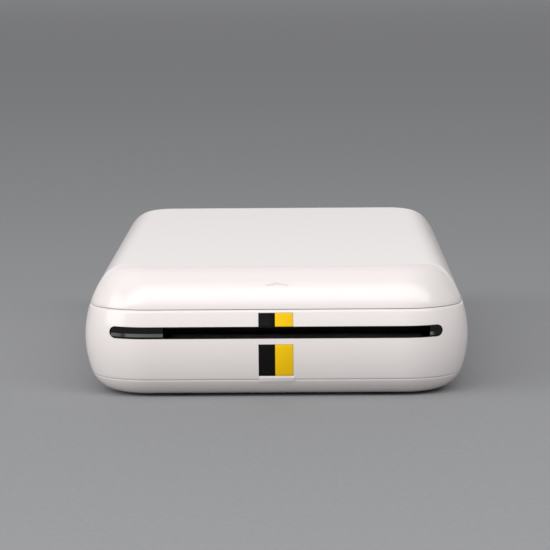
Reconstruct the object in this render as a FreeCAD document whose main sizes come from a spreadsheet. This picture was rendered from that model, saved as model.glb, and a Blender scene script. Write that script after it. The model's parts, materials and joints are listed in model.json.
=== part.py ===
import FreeCAD, Part
import math
import os
import Sketcher
from types import SimpleNamespace

# Compact photo printer
#
# A pocket printer for 2 by 3 inch inkless paper. A white barrel-sided case of three shells
# holds a black frame. The paper lies in a bay under the top cover. A pick roller feeds the
# lowest sheet to a platen roller, which draws it under a heated print head and out of the
# slot at the front. One motor drives both rollers through a train of five gears.
#
# Millimetres. X runs across the slot, Y from front to back and Z up. The origin is on the
# table, under the middle of the case.

SIZES = {
    # The case, seen from outside
    "body_width": 76.2,
    "body_length": 127.0,
    "body_height": 25.4,
    "foot_stand": 0.3,
    "wide_drop": 1.65,
    "barrel_radius": 20.4,
    "edge_radius": 6.2,
    "plan_radius": 13.2,
    "shell_wall": 1.6,
    "bottom_seam_drop": 0.698,
    "seam_gap": 0.15,
    "band_edge_break": 0.3,
    "lip_thickness": 0.9,
    "lip_height": 1.5,
    "lip_room": 0.15,
    "cut_overrun": 1.0,
    # The exit slot and its black liner
    "slot_side_inset": 5.5,
    "slot_height": 2.35,
    "slot_drop": 0.075,
    "liner_room": 0.08,
    "liner_front_inset": 0.5,
    "liner_flange_inset": 2.45,
    "liner_flange_overhang": 0.4,
    "liner_flange_lap": 1.475,
    "liner_back": 8.5,
    # The two-coloured stripe let into the front
    "stripe_left_width": 3.2,
    "stripe_right_width": 3.5,
    "stripe_depth": 0.5,
    "stripe_room": 0.05,
    "upper_stripe_gap": 0.6,
    "lower_stripe_gap": 1.15,
    "lower_stripe_rise": 0.8,
    # The cover's hooks and the ledges that they hold under
    "slide_angle": 25.0,
    "hook_length": 5.0,
    "hook_thickness": 1.0,
    "hook_toe_width": 0.7,
    "hook_inset": 3.6,
    "hook_toe_drop": 3.7,
    "hook_toe_thickness": 0.9,
    "hook_root": 1.4,
    "ledge_room": 0.25,
    "ledge_side_room": 0.15,
    "ledge_top_room": 0.3,
    "ledge_root": 1.5,
    # The paper bay, which takes sheets of 50.8 by 76.2
    "drive_side_inset": 16.1,
    "bay_side_inset": 8.0,
    "bay_front": 27.8,
    "bay_back_inset": 22.1,
    "bay_floor_height": 12.6,
    "bay_floor_thickness": 1.2,
    "bay_wall_top": 17.2,
    "separator_thickness": 1.4,
    "separator_gap": 0.5,
    # The frame
    "frame_wall": 1.8,
    "frame_front": 9.0,
    "frame_bottom": 2.6,
    "floor_front": 20.8,
    "left_drop_back": 54.0,
    "right_drop_back": 41.0,
    "rail_front": 5.2,
    "rail_back": 10.4,
    "rear_wall_inset": 9.9,
    "ear_overlap": 0.8,
    "bridge_seat_top": 19.6,
    "bridge_seat_bottom": 18.0,
    "bridge_seat_reach": 2.4,
    "bridge_front": 11.6,
    "bridge_back": 19.8,
    "bridge_end_room": 0.4,
    "post_front": 11.0,
    # Screws through the bottom, the frame and the band
    "case_screw_radius": 1.0,
    "case_screw_head_radius": 1.9,
    "case_screw_head_height": 1.1,
    "case_screw_length": 7.1,
    "screw_hole_room": 0.1,
    "screw_thread_room": 0.03,
    "screw_head_room": 0.15,
    "front_screw_inset": 19.1,
    "front_screw_place": 7.6,
    "rear_screw_inset": 7.1,
    "rear_screw_back_inset": 21.0,
    "boss_radius": 2.3,
    "boss_top": 4.9,
    "screw_seat_height": 1.7,
    "ear_thickness": 1.5,
    "ear_width": 4.8,
    # Rubber feet
    "foot_radius": 3.5,
    "foot_height": 1.1,
    "foot_room": 0.1,
    "foot_side_inset": 13.1,
    "front_foot_place": 15.5,
    "rear_foot_back_inset": 12.0,
    # Gears
    "gear_module": 0.5,
    "pressure_angle": 25.0,
    "addendum_share": 0.9,
    "dedendum_share": 1.2,
    "gear_backlash": 0.09,
    "gear_face": 2.6,
    "gear_plane_gap": 0.4,
    "gear_wall_gap": 0.75,
    "gear_rim": 0.9,
    "gear_web": 1.2,
    "gear_hub_wall": 0.9,
    "running_room": 0.05,
    "fit_room": 0.02,
    # Platen roller, pick roller and motor, each place measured from the front and the table
    "platen_place": 16.0,
    "platen_height": 9.3,
    "platen_radius": 4.0,
    "platen_shaft_radius": 1.5,
    "roller_end_room": 0.35,
    "pick_place": 36.0,
    "pick_height": 8.4,
    "pick_rise": 0.1,
    "pick_roller_width": 15.0,
    "pick_shaft_radius": 1.25,
    "pick_window_room": 0.6,
    "bush_wall": 0.9,
    "bush_overhang": 0.5,
    "motor_place": 48.0,
    "motor_height": 6.6,
    "motor_can_length": 15.0,
    "motor_can_width": 10.0,
    "motor_can_height": 8.4,
    "motor_boss_radius": 2.0,
    "motor_boss_length": 1.3,
    "motor_shaft_radius": 0.75,
    "motor_end_cap": 2.0,
    "motor_screw_spread": 3.4,
    "motor_screw_radius": 0.6,
    "motor_screw_head_radius": 1.1,
    "motor_screw_head_height": 0.5,
    "motor_screw_length": 3.0,
    "gear_pin_radius": 1.0,
    "pin_seat_floor": 0.5,
    "clip_radius": 1.9,
    "clip_thickness": 0.4,
    "clip_gap": 0.1,
    # The print head, its springs and bridge
    "head_gap": 0.3,
    "strip_thickness": 0.8,
    "strip_length": 7.0,
    "strip_side_room": 1.2,
    "sink_thickness": 2.5,
    "sink_front": 12.2,
    "sink_back": 25.0,
    "sink_end_room": 0.6,
    "sink_groove_depth": 0.9,
    "sink_groove_width": 0.9,
    "sink_groove_pitch": 2.0,
    "pivot_place": 23.4,
    "pivot_height": 15.6,
    "pivot_radius": 0.9,
    "pivot_seat_depth": 3.0,
    "bridge_thickness": 0.8,
    "bridge_lip": 1.4,
    "bridge_screw_radius": 0.75,
    "bridge_screw_head_radius": 1.4,
    "bridge_screw_head_height": 0.7,
    "bridge_screw_depth": 1.4,
    "head_spring_inset": 10.05,
    "head_spring_place": 14.6,
    "head_spring_radius": 1.6,
    "spring_wire": 0.35,
    # The pressure plate under the cover
    "plate_side_room": 11.05,
    "plate_front_room": 2.7,
    "plate_back_room": 30.4,
    "plate_gap": 0.5,
    "plate_thickness": 1.2,
    "plate_edge_radius": 3.0,
    "plate_travel": 2.6,
    "post_radius": 1.5,
    "post_end_gap": 0.3,
    "socket_room": 0.15,
    "socket_wall": 0.9,
    "socket_gap": 1.6,
    "plate_spring_radius": 3.9,
    # The power button on the right side and its switch
    "button_place": 30.0,
    "button_length": 10.0,
    "button_height": 3.4,
    "button_inset": 0.1,
    "button_room": 0.15,
    "button_flange_reach": 1.1,
    "button_flange_thickness": 1.0,
    "button_flange_gap": 0.12,
    "button_travel": 0.5,
    "button_press_gap": 0.05,
    "button_stem_radius": 0.9,
    "switch_body": 4.5,
    "switch_thickness": 1.8,
    "switch_plunger_radius": 0.8,
    "switch_plunger_length": 0.5,
    # Main board, charging port, battery and lamp
    "board_thickness": 1.0,
    "board_height": 3.4,
    "board_front": 58.0,
    "board_side_inset": 11.1,
    "board_back_inset": 4.8,
    "board_corner": 1.5,
    "standoff_radius": 1.7,
    "board_screw_radius": 0.7,
    "board_screw_head_radius": 1.3,
    "board_screw_head_height": 0.6,
    "board_screw_length": 1.2,
    "board_screw_inset": 2.6,
    "port_x": -12.0,
    "port_width": 7.5,
    "port_depth": 5.6,
    "port_height": 2.6,
    "port_wall": 0.3,
    "port_front_inset": 1.3,
    "port_room": 0.4,
    "port_tongue_width": 4.0,
    "port_tongue_thickness": 0.5,
    "lamp_x": -2.0,
    "pipe_radius": 0.9,
    "pipe_height": 6.6,
    "pipe_room": 0.1,
    "pipe_length": 6.6,
    "pipe_inset": 0.9,
    "lamp_size": 1.6,
    "lamp_thickness": 0.7,
    "lamp_gap": 0.15,
    "battery_side_room": 3.05,
    "battery_back_inset": 23.5,
    "battery_thickness": 5.0,
    "battery_front": 60.0,
    "battery_round": 1.5,
    "processor_size": 10.0,
    "memory_size": 8.0,
    "chip_thickness": 0.9,
    "power_chip_size": 5.0,
    "chip_row_inset": 14.0,
    "chip_gap": 3.0,
    "radio_width": 9.0,
    "radio_length": 12.0,
    "radio_thickness": 1.4,
    "radio_side_inset": 13.0,
    "radio_back_inset": 13.2,
    "sensor_width": 3.2,
    "sensor_length": 2.6,
    "sensor_height": 1.4,
    "sensor_place": 23.6,
    "sensor_side_inset": 12.1,
    "sensor_window_radius": 0.8,
}

# Counts, which are not lengths
PINION_TEETH = 12
REDUCTION_TEETH = 30
REDUCTION_SMALL_TEETH = 12
PICK_TEETH = 20
IDLER_TEETH = 20
PLATEN_TEETH = 24
SINK_GROOVE_COUNT = 5
FASTENER_SIDES = 12

# Where the three hooks of a side stand, as shares of the body's length
HOOK_PLACE_SHARES = (0.157, 0.472, 0.748)

# Where the two posts of the pressure plate stand, as shares of its length
POST_PLACE_SHARES = (5 / 22, 17 / 22)

# How far up the cover's seam lies between the slot's top and the case's top, as a share
SEAM_RISE_SHARE = 16 / 55


class Size:
    """A number that remembers the sheet expression it was worked out from."""

    def __init__(self, value, text):
        self.value = float(value)
        self.text = text

    def __add__(self, other):
        return Size(self.value + number(other), f"({self.text} + {wording(other)})")

    def __radd__(self, other):
        return Size(number(other) + self.value, f"({wording(other)} + {self.text})")

    def __sub__(self, other):
        return Size(self.value - number(other), f"({self.text} - {wording(other)})")

    def __rsub__(self, other):
        return Size(number(other) - self.value, f"({wording(other)} - {self.text})")

    def __mul__(self, other):
        return Size(self.value * number(other), f"({self.text} * {wording(other)})")

    def __rmul__(self, other):
        return Size(number(other) * self.value, f"({wording(other)} * {self.text})")

    def __truediv__(self, other):
        return Size(self.value / number(other), f"({self.text} / {wording(other)})")

    def __neg__(self):
        return Size(-self.value, f"(-1 * {self.text})")

    def __float__(self):
        return self.value


def number(size):
    """The plain number of a size."""
    return size.value if isinstance(size, Size) else float(size)


def wording(size):
    """A size as text for an expression."""
    return size.text if isinstance(size, Size) else repr(float(size))


def root(size):
    """Square root of a size."""
    return Size(math.sqrt(size.value), f"sqrt({size.text})")


def tangent(angle):
    """Tangent of an angle in degrees."""
    return Size(math.tan(math.radians(angle.value)), f"tan({angle.text})")


# The document and its sheet of sizes

doc = FreeCAD.newDocument("PhotoPrinter")
sheet = doc.addObject("Spreadsheet::Sheet", "Sizes")
for row, (alias, size) in enumerate(SIZES.items(), start=1):
    sheet.set(f"A{row}", alias)
    sheet.set(f"B{row}", str(size))
    sheet.setAlias(f"B{row}", alias)
doc.recompute()

S = SimpleNamespace(**{alias: Size(size, f"Sizes.{alias}") for alias, size in SIZES.items()})

ALONG_X = FreeCAD.Rotation(FreeCAD.Vector(1, 1, 1), 120)
ALONG_Y = FreeCAD.Rotation(FreeCAD.Vector(1, 1, 1), 240)
ALONG_Z = FreeCAD.Rotation()

pieces = {}


# Helpers for primitives and booleans

def bind(item, sizes):
    """Tie an object's properties to the sheet."""
    for path, size in sizes.items():
        if isinstance(size, Size):
            item.setExpression(path, size.text)


def block(name, x, y, z):
    """A box between two corners, given as a (low, high) pair for each axis."""
    item = doc.addObject("Part::Box", name)
    bind(item, {
        "Length": x[1] - x[0],
        "Width": y[1] - y[0],
        "Height": z[1] - z[0],
        "Placement.Base.x": x[0],
        "Placement.Base.y": y[0],
        "Placement.Base.z": z[0],
    })
    return item


def rod(name, turn, x, y, z, radius, length):
    """A round bar that starts at x, y, z and runs the way that turn gives."""
    item = doc.addObject("Part::Cylinder", name)
    item.Placement = FreeCAD.Placement(FreeCAD.Vector(), turn)
    bind(item, {
        "Radius": radius,
        "Height": length,
        "Placement.Base.x": x,
        "Placement.Base.y": y,
        "Placement.Base.z": z,
    })
    return item


def many_sided_rod(name, turn, x, y, z, radius, length):
    """A bar with flat sides, for small fasteners; the radius reaches its corners."""
    item = doc.addObject("Part::Prism", name)
    item.Placement = FreeCAD.Placement(FreeCAD.Vector(), turn)
    item.Polygon = FASTENER_SIDES
    bind(item, {
        "Circumradius": radius,
        "Height": length,
        "Placement.Base.x": x,
        "Placement.Base.y": y,
        "Placement.Base.z": z,
    })
    return item


def fuse(name, items):
    """One solid out of several."""
    item = doc.addObject("Part::MultiFuse", name)
    item.Shapes = items
    item.Refine = True
    return item


def cut(name, base, tool):
    """A base with a tool taken out of it."""
    item = doc.addObject("Part::Cut", name)
    item.Base = base
    item.Tool = tool
    item.Refine = True
    return item


def tube(name, turn, x, y, z, radius, bore, length):
    """A round bar with a bore."""
    outside = rod(name + "_outside", turn, x, y, z, radius, length)
    inside = rod(name + "_bore", turn, x, y, z, bore, length)
    return cut(name, outside, inside)


def group(name, items):
    """Separate solids that are kept together under one name."""
    item = doc.addObject("Part::Compound", name)
    item.Links = items
    return item


def keep(item, label):
    """Register a finished piece under its own label."""
    item.Label = label
    pieces[label] = item


# Helpers for sketches and features

class Bend:
    """An arc between two corners of an outline; it bulges outwards unless it is hollow."""

    def __init__(self, radius, hollow=False):
        self.radius = radius
        self.hollow = hollow


class Round:
    """A full circle in a sketch."""

    def __init__(self, u, v, radius):
        self.u = u
        self.v = v
        self.radius = radius


def plane_of(body, role):
    """One of a body's own origin planes."""
    return [item for item in body.Origin.OriginFeatures if item.Role == role][0]


def arc_middle(start, end, bend):
    """A point in the middle of a short arc from start to end, on an outline drawn anticlockwise."""
    chord = end - start
    side = FreeCAD.Vector(chord.y, -chord.x, 0).normalize()
    radius = number(bend.radius)
    sagitta = radius - math.sqrt(radius ** 2 - (chord.Length / 2) ** 2)
    return (start + end) / 2 + side * (-sagitta if bend.hollow else sagitta)


def hold(item, kind, places, size):
    """Add a dimension to a sketch and tie it to the sheet."""
    index = item.addConstraint(Sketcher.Constraint(kind, *places, number(size)))
    if isinstance(size, Size):
        item.setExpression(f"Constraints[{index}]", size.text)


def draw_loop(item, loop):
    """Draw a closed outline of corners and bends, with every corner held in place."""
    corners = [entry for entry in loop if not isinstance(entry, Bend)]
    bends = {}
    seen = 0
    for entry in loop:
        if isinstance(entry, Bend):
            bends[seen - 1] = entry
        else:
            seen += 1
    points = [FreeCAD.Vector(number(u), number(v), 0) for u, v in corners]
    edges = []
    starts = []
    for place, start in enumerate(points):
        end = points[(place + 1) % len(points)]
        hollow = place in bends and bends[place].hollow
        if hollow:
            shape = Part.Arc(end, arc_middle(start, end, bends[place]), start)
        elif place in bends:
            shape = Part.Arc(start, arc_middle(start, end, bends[place]), end)
        else:
            shape = Part.LineSegment(start, end)
        edges.append(item.addGeometry(shape))
        starts.append(2 if hollow else 1)
    for place, edge in enumerate(edges):
        after = (place + 1) % len(edges)
        joint = (edge, 3 - starts[place], edges[after], starts[after])
        item.addConstraint(Sketcher.Constraint("Coincident", *joint))
    for place, (u, v) in enumerate(corners):
        hold(item, "DistanceX", (-1, 1, edges[place], starts[place]), u)
        hold(item, "DistanceY", (-1, 1, edges[place], starts[place]), v)
    for place, bend in bends.items():
        hold(item, "Radius", (edges[place],), bend.radius)


def draw_circle(item, circle):
    """Draw a circle held at its centre."""
    centre = FreeCAD.Vector(number(circle.u), number(circle.v), 0)
    edge = item.addGeometry(Part.Circle(centre, FreeCAD.Vector(0, 0, 1), number(circle.radius)))
    hold(item, "DistanceX", (-1, 1, edge, 3), circle.u)
    hold(item, "DistanceY", (-1, 1, edge, 3), circle.v)
    hold(item, "Radius", (edge,), circle.radius)


def sketch(body, name, role, offset, loops):
    """A sketch parallel to an origin plane, at an offset along the world axis across it."""
    item = body.newObject("Sketcher::SketchObject", name)
    item.AttachmentSupport = [(plane_of(body, role), "")]
    item.MapMode = "FlatFace"
    if isinstance(offset, Size):
        toward = -offset if role == "XZ_Plane" else offset
        item.setExpression("AttachmentOffset.Base.z", toward.text)
    for loop in loops:
        if isinstance(loop, Round):
            draw_circle(item, loop)
        else:
            draw_loop(item, loop)
    doc.recompute()
    return item


def pad(body, name, role, low, high, loops):
    """Add material between two planes across an axis."""
    item = body.newObject("PartDesign::Pad", name)
    item.Profile = sketch(body, name + "_outline", role, low, loops)
    item.setExpression("Length", (high - low).text)
    item.Reversed = role == "XZ_Plane"
    doc.recompute()
    return item


def pocket(body, name, role, low, high, loops):
    """Take material away between two planes across an axis."""
    before = body.Shape.Volume
    item = body.newObject("PartDesign::Pocket", name)
    item.Profile = sketch(body, name + "_outline", role, low, loops)
    item.setExpression("Length", (high - low).text)
    item.Reversed = role != "XZ_Plane"
    doc.recompute()
    if body.Shape.Volume >= before:
        raise RuntimeError(f"{name} cuts nothing")
    return item


def sweep(body, name, section, path):
    """Carry a section round a path."""
    item = body.newObject("PartDesign::AdditivePipe", name)
    item.Profile = section
    item.Spine = (path, [])
    doc.recompute()
    return item


def new_body(label):
    """A body that becomes one piece."""
    body = doc.addObject("PartDesign::Body", label)
    keep(body, label)
    return body


def rectangle(x, y):
    """A rectangle between two (low, high) pairs."""
    return [(x[0], y[0]), (x[1], y[0]), (x[1], y[1]), (x[0], y[1])]


def rounded(x, y, radius):
    """A rectangle with round corners."""
    return [
        (x[1] - radius, y[0]), Bend(radius), (x[1], y[0] + radius),
        (x[1], y[1] - radius), Bend(radius), (x[1] - radius, y[1]),
        (x[0] + radius, y[1]), Bend(radius), (x[0], y[1] - radius),
        (x[0], y[0] + radius), Bend(radius), (x[0] + radius, y[0]),
    ]


def stadium(centre, length, height):
    """A slot outline with half-round ends."""
    u, v = centre
    radius = height / 2
    reach = length / 2
    return [
        (u + reach - radius, v - radius), Bend(radius), (u + reach, v), Bend(radius),
        (u + reach - radius, v + radius), (u - reach + radius, v + radius), Bend(radius),
        (u - reach, v), Bend(radius), (u - reach + radius, v - radius),
    ]


def about(centre, width):
    """A (low, high) pair around a centre."""
    return (centre - width / 2, centre + width / 2)


def many_sided(u, v, radius):
    """An outline with flat sides for a small boss or hole; the radius reaches its corners."""
    turns = [math.radians(360 * side / FASTENER_SIDES) for side in range(FASTENER_SIDES)]
    return [(u + radius * math.cos(turn), v + radius * math.sin(turn)) for turn in turns]


def from_front(distance):
    """A place that is measured from the front of the case."""
    return distance - S.body_length / 2


# The case profile: how far its surface stands in from the widest line, by height.
# Two barrel arcs and two edge arcs follow each other tangentially, from the flat bottom
# to the flat top, and an inner surface has the same centres with smaller radii.

HALF_WIDTH = S.body_width / 2
HALF_LENGTH = S.body_length / 2
ARC_REACH = S.barrel_radius - S.edge_radius
TOP_EDGE_HEIGHT = S.body_height - S.edge_radius
BOTTOM_EDGE_HEIGHT = S.foot_stand + S.edge_radius
WIDE_HEIGHT = (S.foot_stand + S.body_height) / 2 - S.wide_drop
TOP_RISE = TOP_EDGE_HEIGHT - WIDE_HEIGHT
BOTTOM_DROP = WIDE_HEIGHT - BOTTOM_EDGE_HEIGHT
TOP_SPAN = root(ARC_REACH * ARC_REACH - TOP_RISE * TOP_RISE)
BOTTOM_SPAN = root(ARC_REACH * ARC_REACH - BOTTOM_DROP * BOTTOM_DROP)
TOP_FLAT_INSET = S.barrel_radius - TOP_SPAN
BOTTOM_FLAT_INSET = S.barrel_radius - BOTTOM_SPAN
BOTTOM_SEAM = WIDE_HEIGHT - S.barrel_radius * BOTTOM_DROP / ARC_REACH - S.bottom_seam_drop
SLOT_CENTRE = S.platen_height + S.platen_radius - S.slot_drop
SLOT_BOTTOM = SLOT_CENTRE - S.slot_height / 2
SLOT_TOP = SLOT_CENTRE + S.slot_height / 2
COVER_SEAM = SLOT_TOP + (S.body_height - SLOT_TOP) * SEAM_RISE_SHARE
COVER_BOTTOM = COVER_SEAM + S.seam_gap
CEILING = S.body_height - S.shell_wall


def barrel_inset(height, depth):
    """Inset of the surface that lies depth under the barrel, at a height."""
    radius = S.barrel_radius - depth
    rise = height - WIDE_HEIGHT
    return S.barrel_radius - root(radius * radius - rise * rise)


def inner_wall_inset(height):
    """Inset of the band's inner face above the widest line, where it runs straight up to the seam."""
    top = barrel_inset(COVER_SEAM, S.shell_wall)
    rise_share = (height - WIDE_HEIGHT) / (COVER_SEAM - WIDE_HEIGHT)
    return S.shell_wall + (top - S.shell_wall) * rise_share


def bottom_edge_inset(height, depth):
    """Inset of the surface that lies depth under the bottom edge arc, at a height."""
    radius = S.edge_radius - depth
    drop = BOTTOM_EDGE_HEIGHT - height
    return BOTTOM_FLAT_INSET - root(radius * radius - drop * drop)


def top_joint(depth):
    """Inset and height where the barrel runs into the top edge arc."""
    radius = S.barrel_radius - depth
    inset = S.barrel_radius - radius * TOP_SPAN / ARC_REACH
    return (inset, WIDE_HEIGHT + radius * TOP_RISE / ARC_REACH)


def bottom_joint(depth):
    """Inset and height where the barrel runs into the bottom edge arc."""
    radius = S.barrel_radius - depth
    inset = S.barrel_radius - radius * BOTTOM_SPAN / ARC_REACH
    return (inset, WIDE_HEIGHT - radius * BOTTOM_DROP / ARC_REACH)


def on_side(corners):
    """Turn insets and heights into places on the section at the right side of the case."""
    return [entry if isinstance(entry, Bend) else (HALF_WIDTH - entry[0], entry[1]) for entry in corners]


def ring(body, name, corners):
    """A wall of the case: a section carried round the case's plan."""
    section = sketch(body, name + "_section", "XZ_Plane", 0, [on_side(corners)])
    plan = rounded((-HALF_WIDTH, HALF_WIDTH), (-HALF_LENGTH, HALF_LENGTH), S.plan_radius)
    start = plan.pop()
    path = sketch(body, name + "_path", "XY_Plane", 0, [[start] + plan])
    return sweep(body, name, section, path)


def case_plan(inset):
    """The case's plan outline at an inset."""
    return rounded(
        (inset - HALF_WIDTH, HALF_WIDTH - inset),
        (inset - HALF_LENGTH, HALF_LENGTH - inset),
        S.plan_radius - inset,
    )


# Places that several pieces share

BAY_LEFT = S.drive_side_inset - HALF_WIDTH
BAY_RIGHT = HALF_WIDTH - S.bay_side_inset
BAY_WIDTH = BAY_RIGHT - BAY_LEFT
PAPER_MIDDLE = (BAY_LEFT + BAY_RIGHT) / 2
BAY_BACK = S.body_length - S.bay_back_inset
FRAME_LEFT = BAY_LEFT - S.frame_wall
FRAME_RIGHT = BAY_RIGHT + S.frame_wall
REAR_WALL_BACK = BAY_BACK + S.frame_wall
FLOOR_BOTTOM = S.bay_floor_height - S.bay_floor_thickness
FLOOR_INSIDE = S.foot_stand + S.shell_wall
SLOT_WIDTH = S.body_width - S.slot_side_inset * 2
UPPER_STRIPE_TOP = COVER_SEAM - S.upper_stripe_gap
LOWER_STRIPE_TOP = SLOT_BOTTOM - S.lower_stripe_gap
LOWER_STRIPE_BOTTOM = BOTTOM_SEAM + S.lower_stripe_rise
BAND_EAR_TOP = S.boss_top + S.ear_thickness * 2
RAIL_TOP = S.boss_top + S.ear_thickness
STRIPE_LEFT = -(S.stripe_left_width + S.stripe_right_width) / 2
STRIPE_MIDDLE = STRIPE_LEFT + S.stripe_left_width
STRIPE_RIGHT = STRIPE_MIDDLE + S.stripe_right_width
TOE_TOP = COVER_SEAM - S.hook_toe_drop
TOE_BOTTOM = TOE_TOP - S.hook_toe_thickness
HOOK_INSIDE = HALF_WIDTH - S.hook_inset - S.hook_thickness
HOOK_OUTSIDE = HALF_WIDTH - S.hook_inset
TOE_OUTSIDE = HOOK_OUTSIDE + S.hook_toe_width
COVER_RUN = TOP_FLAT_INSET - barrel_inset(COVER_BOTTOM, S.shell_wall)
HOOK_RUN = S.hook_inset + S.hook_thickness - barrel_inset(COVER_BOTTOM, S.shell_wall)
HOOK_TOP = COVER_BOTTOM + (CEILING - COVER_BOTTOM) * (HOOK_RUN / COVER_RUN) + S.hook_root
LEDGE_INSIDE = HOOK_OUTSIDE + S.ledge_side_room
HOOK_RISE = S.hook_length * tangent(S.slide_angle)
FRONT_SCREW_X = HALF_WIDTH - S.front_screw_inset
REAR_SCREW_X = HALF_WIDTH - S.rear_screw_inset
REAR_SCREW_Y = HALF_LENGTH - S.rear_screw_back_inset
CASE_SCREW_PLACES = [
    (-FRONT_SCREW_X, from_front(S.front_screw_place)),
    (FRONT_SCREW_X, from_front(S.front_screw_place)),
    (-REAR_SCREW_X, REAR_SCREW_Y),
    (REAR_SCREW_X, REAR_SCREW_Y),
]
FOOT_X = HALF_WIDTH - S.foot_side_inset
FOOT_PLACES = [
    (-FOOT_X, from_front(S.front_foot_place)),
    (FOOT_X, from_front(S.front_foot_place)),
    (-FOOT_X, HALF_LENGTH - S.rear_foot_back_inset),
    (FOOT_X, HALF_LENGTH - S.rear_foot_back_inset),
]
REAR_WALL_HALF = HALF_WIDTH - S.rear_wall_inset
BOARD_BACK = S.body_length - S.board_back_inset
BOARD_TOP = S.board_height + S.board_thickness
BOARD_HALF = HALF_WIDTH - S.board_side_inset
BOARD_SCREW_X = BOARD_HALF - S.board_screw_inset
BOARD_SCREW_FRONT = from_front(S.board_front + S.board_screw_inset)
BOARD_SCREW_BACK = from_front(BOARD_BACK - S.board_screw_inset)
BOARD_SCREW_PLACES = [(-BOARD_SCREW_X, BOARD_SCREW_FRONT), (BOARD_SCREW_X, BOARD_SCREW_BACK)]
BOARD_REST_PLACES = [(BOARD_SCREW_X, BOARD_SCREW_FRONT), (-BOARD_SCREW_X, BOARD_SCREW_BACK)]
PLATE_BOTTOM = S.bay_floor_height + S.plate_gap
PLATE_TOP = PLATE_BOTTOM + S.plate_thickness
PLATE_FRONT = S.bay_front + S.plate_front_room
PLATE_BACK = BAY_BACK - S.plate_back_room
POST_PLACES = [
    (PAPER_MIDDLE, from_front(PLATE_FRONT + (PLATE_BACK - PLATE_FRONT) * share))
    for share in POST_PLACE_SHARES
]
POST_TOP = CEILING - S.plate_travel - S.post_end_gap
SOCKET_BOTTOM = PLATE_TOP + S.plate_travel + S.socket_gap
SOCKET_BORE = S.post_radius + S.socket_room
SOCKET_RADIUS = SOCKET_BORE + S.socket_wall

INNER_GEAR_RIGHT = FRAME_LEFT - S.gear_wall_gap
INNER_GEAR_LEFT = INNER_GEAR_RIGHT - S.gear_face
OUTER_GEAR_RIGHT = INNER_GEAR_LEFT - S.gear_plane_gap
OUTER_GEAR_LEFT = OUTER_GEAR_RIGHT - S.gear_face
PIN_SEAT_END = BAY_LEFT - S.pin_seat_floor
SENSOR_X = BAY_RIGHT - S.sensor_side_inset

HEAD_BOTTOM = S.platen_height + S.platen_radius + S.head_gap
SINK_BOTTOM = HEAD_BOTTOM + S.strip_thickness
SINK_TOP = SINK_BOTTOM + S.sink_thickness
SINK_LEFT = BAY_LEFT + S.sink_end_room
SINK_RIGHT = BAY_RIGHT - S.sink_end_room
BRIDGE_TOP = S.bridge_seat_top + S.bridge_thickness
BRIDGE_SCREW_X = BAY_WIDTH / 2 + (S.frame_wall - S.bridge_seat_reach) / 2
BRIDGE_MIDDLE = (S.bridge_front + S.bridge_back) / 2
HEAD_SPRING_REACH = BAY_WIDTH / 2 - S.head_spring_inset

PICK_RADIUS = S.bay_floor_height + S.pick_rise - S.pick_height


# Gear places: each gear's centre stands where its two neighbours' centre distances meet

def meeting_point(first, first_reach, second, second_reach):
    """The upper point at given distances from two places."""
    across = second[0] - first[0]
    up = second[1] - first[1]
    apart = root(across * across + up * up)
    along = (first_reach * first_reach - second_reach * second_reach + apart * apart) / (apart * 2)
    aside = root(first_reach * first_reach - along * along)
    return (
        first[0] + along * across / apart - aside * up / apart,
        first[1] + along * up / apart + aside * across / apart,
    )


def pitch_radius(teeth):
    """Pitch radius of a gear."""
    return S.gear_module * teeth / 2


def centre_distance(first_teeth, second_teeth):
    """How far apart two meshing gears stand."""
    return pitch_radius(first_teeth) + pitch_radius(second_teeth)


PLATEN_AT = (S.platen_place, S.platen_height)
PICK_AT = (S.pick_place, S.pick_height)
MOTOR_AT = (S.motor_place, S.motor_height)
IDLER_AT = meeting_point(
    PLATEN_AT, centre_distance(PLATEN_TEETH, IDLER_TEETH),
    PICK_AT, centre_distance(PICK_TEETH, IDLER_TEETH),
)
REDUCTION_AT = meeting_point(
    PICK_AT, centre_distance(PICK_TEETH, REDUCTION_SMALL_TEETH),
    MOTOR_AT, centre_distance(PINION_TEETH, REDUCTION_TEETH),
)


# Case shells

def make_top_cover():
    """The lid: a barrel-sided rim with a flat top, hooks at the sides and plate sockets."""
    body = new_body("top_cover")
    outer = 0
    inner = S.shell_wall
    ring(body, "rim", [
        (barrel_inset(COVER_BOTTOM, inner), COVER_BOTTOM),
        (barrel_inset(COVER_BOTTOM, outer), COVER_BOTTOM), Bend(S.barrel_radius),
        top_joint(outer), Bend(S.edge_radius),
        (TOP_FLAT_INSET, S.body_height),
        (TOP_FLAT_INSET, CEILING),
        top_joint(inner),
    ])
    pad(body, "top", "XY_Plane", CEILING, S.body_height, [case_plan(TOP_FLAT_INSET)])
    tabs = []
    toes = []
    for share in HOOK_PLACE_SHARES:
        front = from_front(S.body_length * share - S.hook_length / 2)
        back = front + S.hook_length
        tabs.append([
            (front, TOE_BOTTOM), (back, TOE_BOTTOM + HOOK_RISE), (back, HOOK_TOP), (front, HOOK_TOP),
        ])
        toes.append([
            (front, TOE_BOTTOM), (back, TOE_BOTTOM + HOOK_RISE),
            (back, TOE_TOP + HOOK_RISE), (front, TOE_TOP),
        ])
    tab_pad = pad(body, "hook_tabs", "YZ_Plane", HOOK_INSIDE, HOOK_OUTSIDE, tabs)
    toe_pad = pad(body, "hook_toes", "YZ_Plane", HOOK_OUTSIDE, TOE_OUTSIDE, toes)
    mirror = body.newObject("PartDesign::Mirrored", "left_hooks")
    mirror.Originals = [tab_pad, toe_pad]
    mirror.MirrorPlane = (plane_of(body, "YZ_Plane"), [""])
    body.Tip = mirror
    doc.recompute()
    rings = []
    for x, y in POST_PLACES:
        rings.append(many_sided(x, y, SOCKET_RADIUS))
        rings.append(many_sided(x, y, SOCKET_BORE))
    pad(body, "sockets", "XY_Plane", SOCKET_BOTTOM, CEILING, rings)


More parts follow.
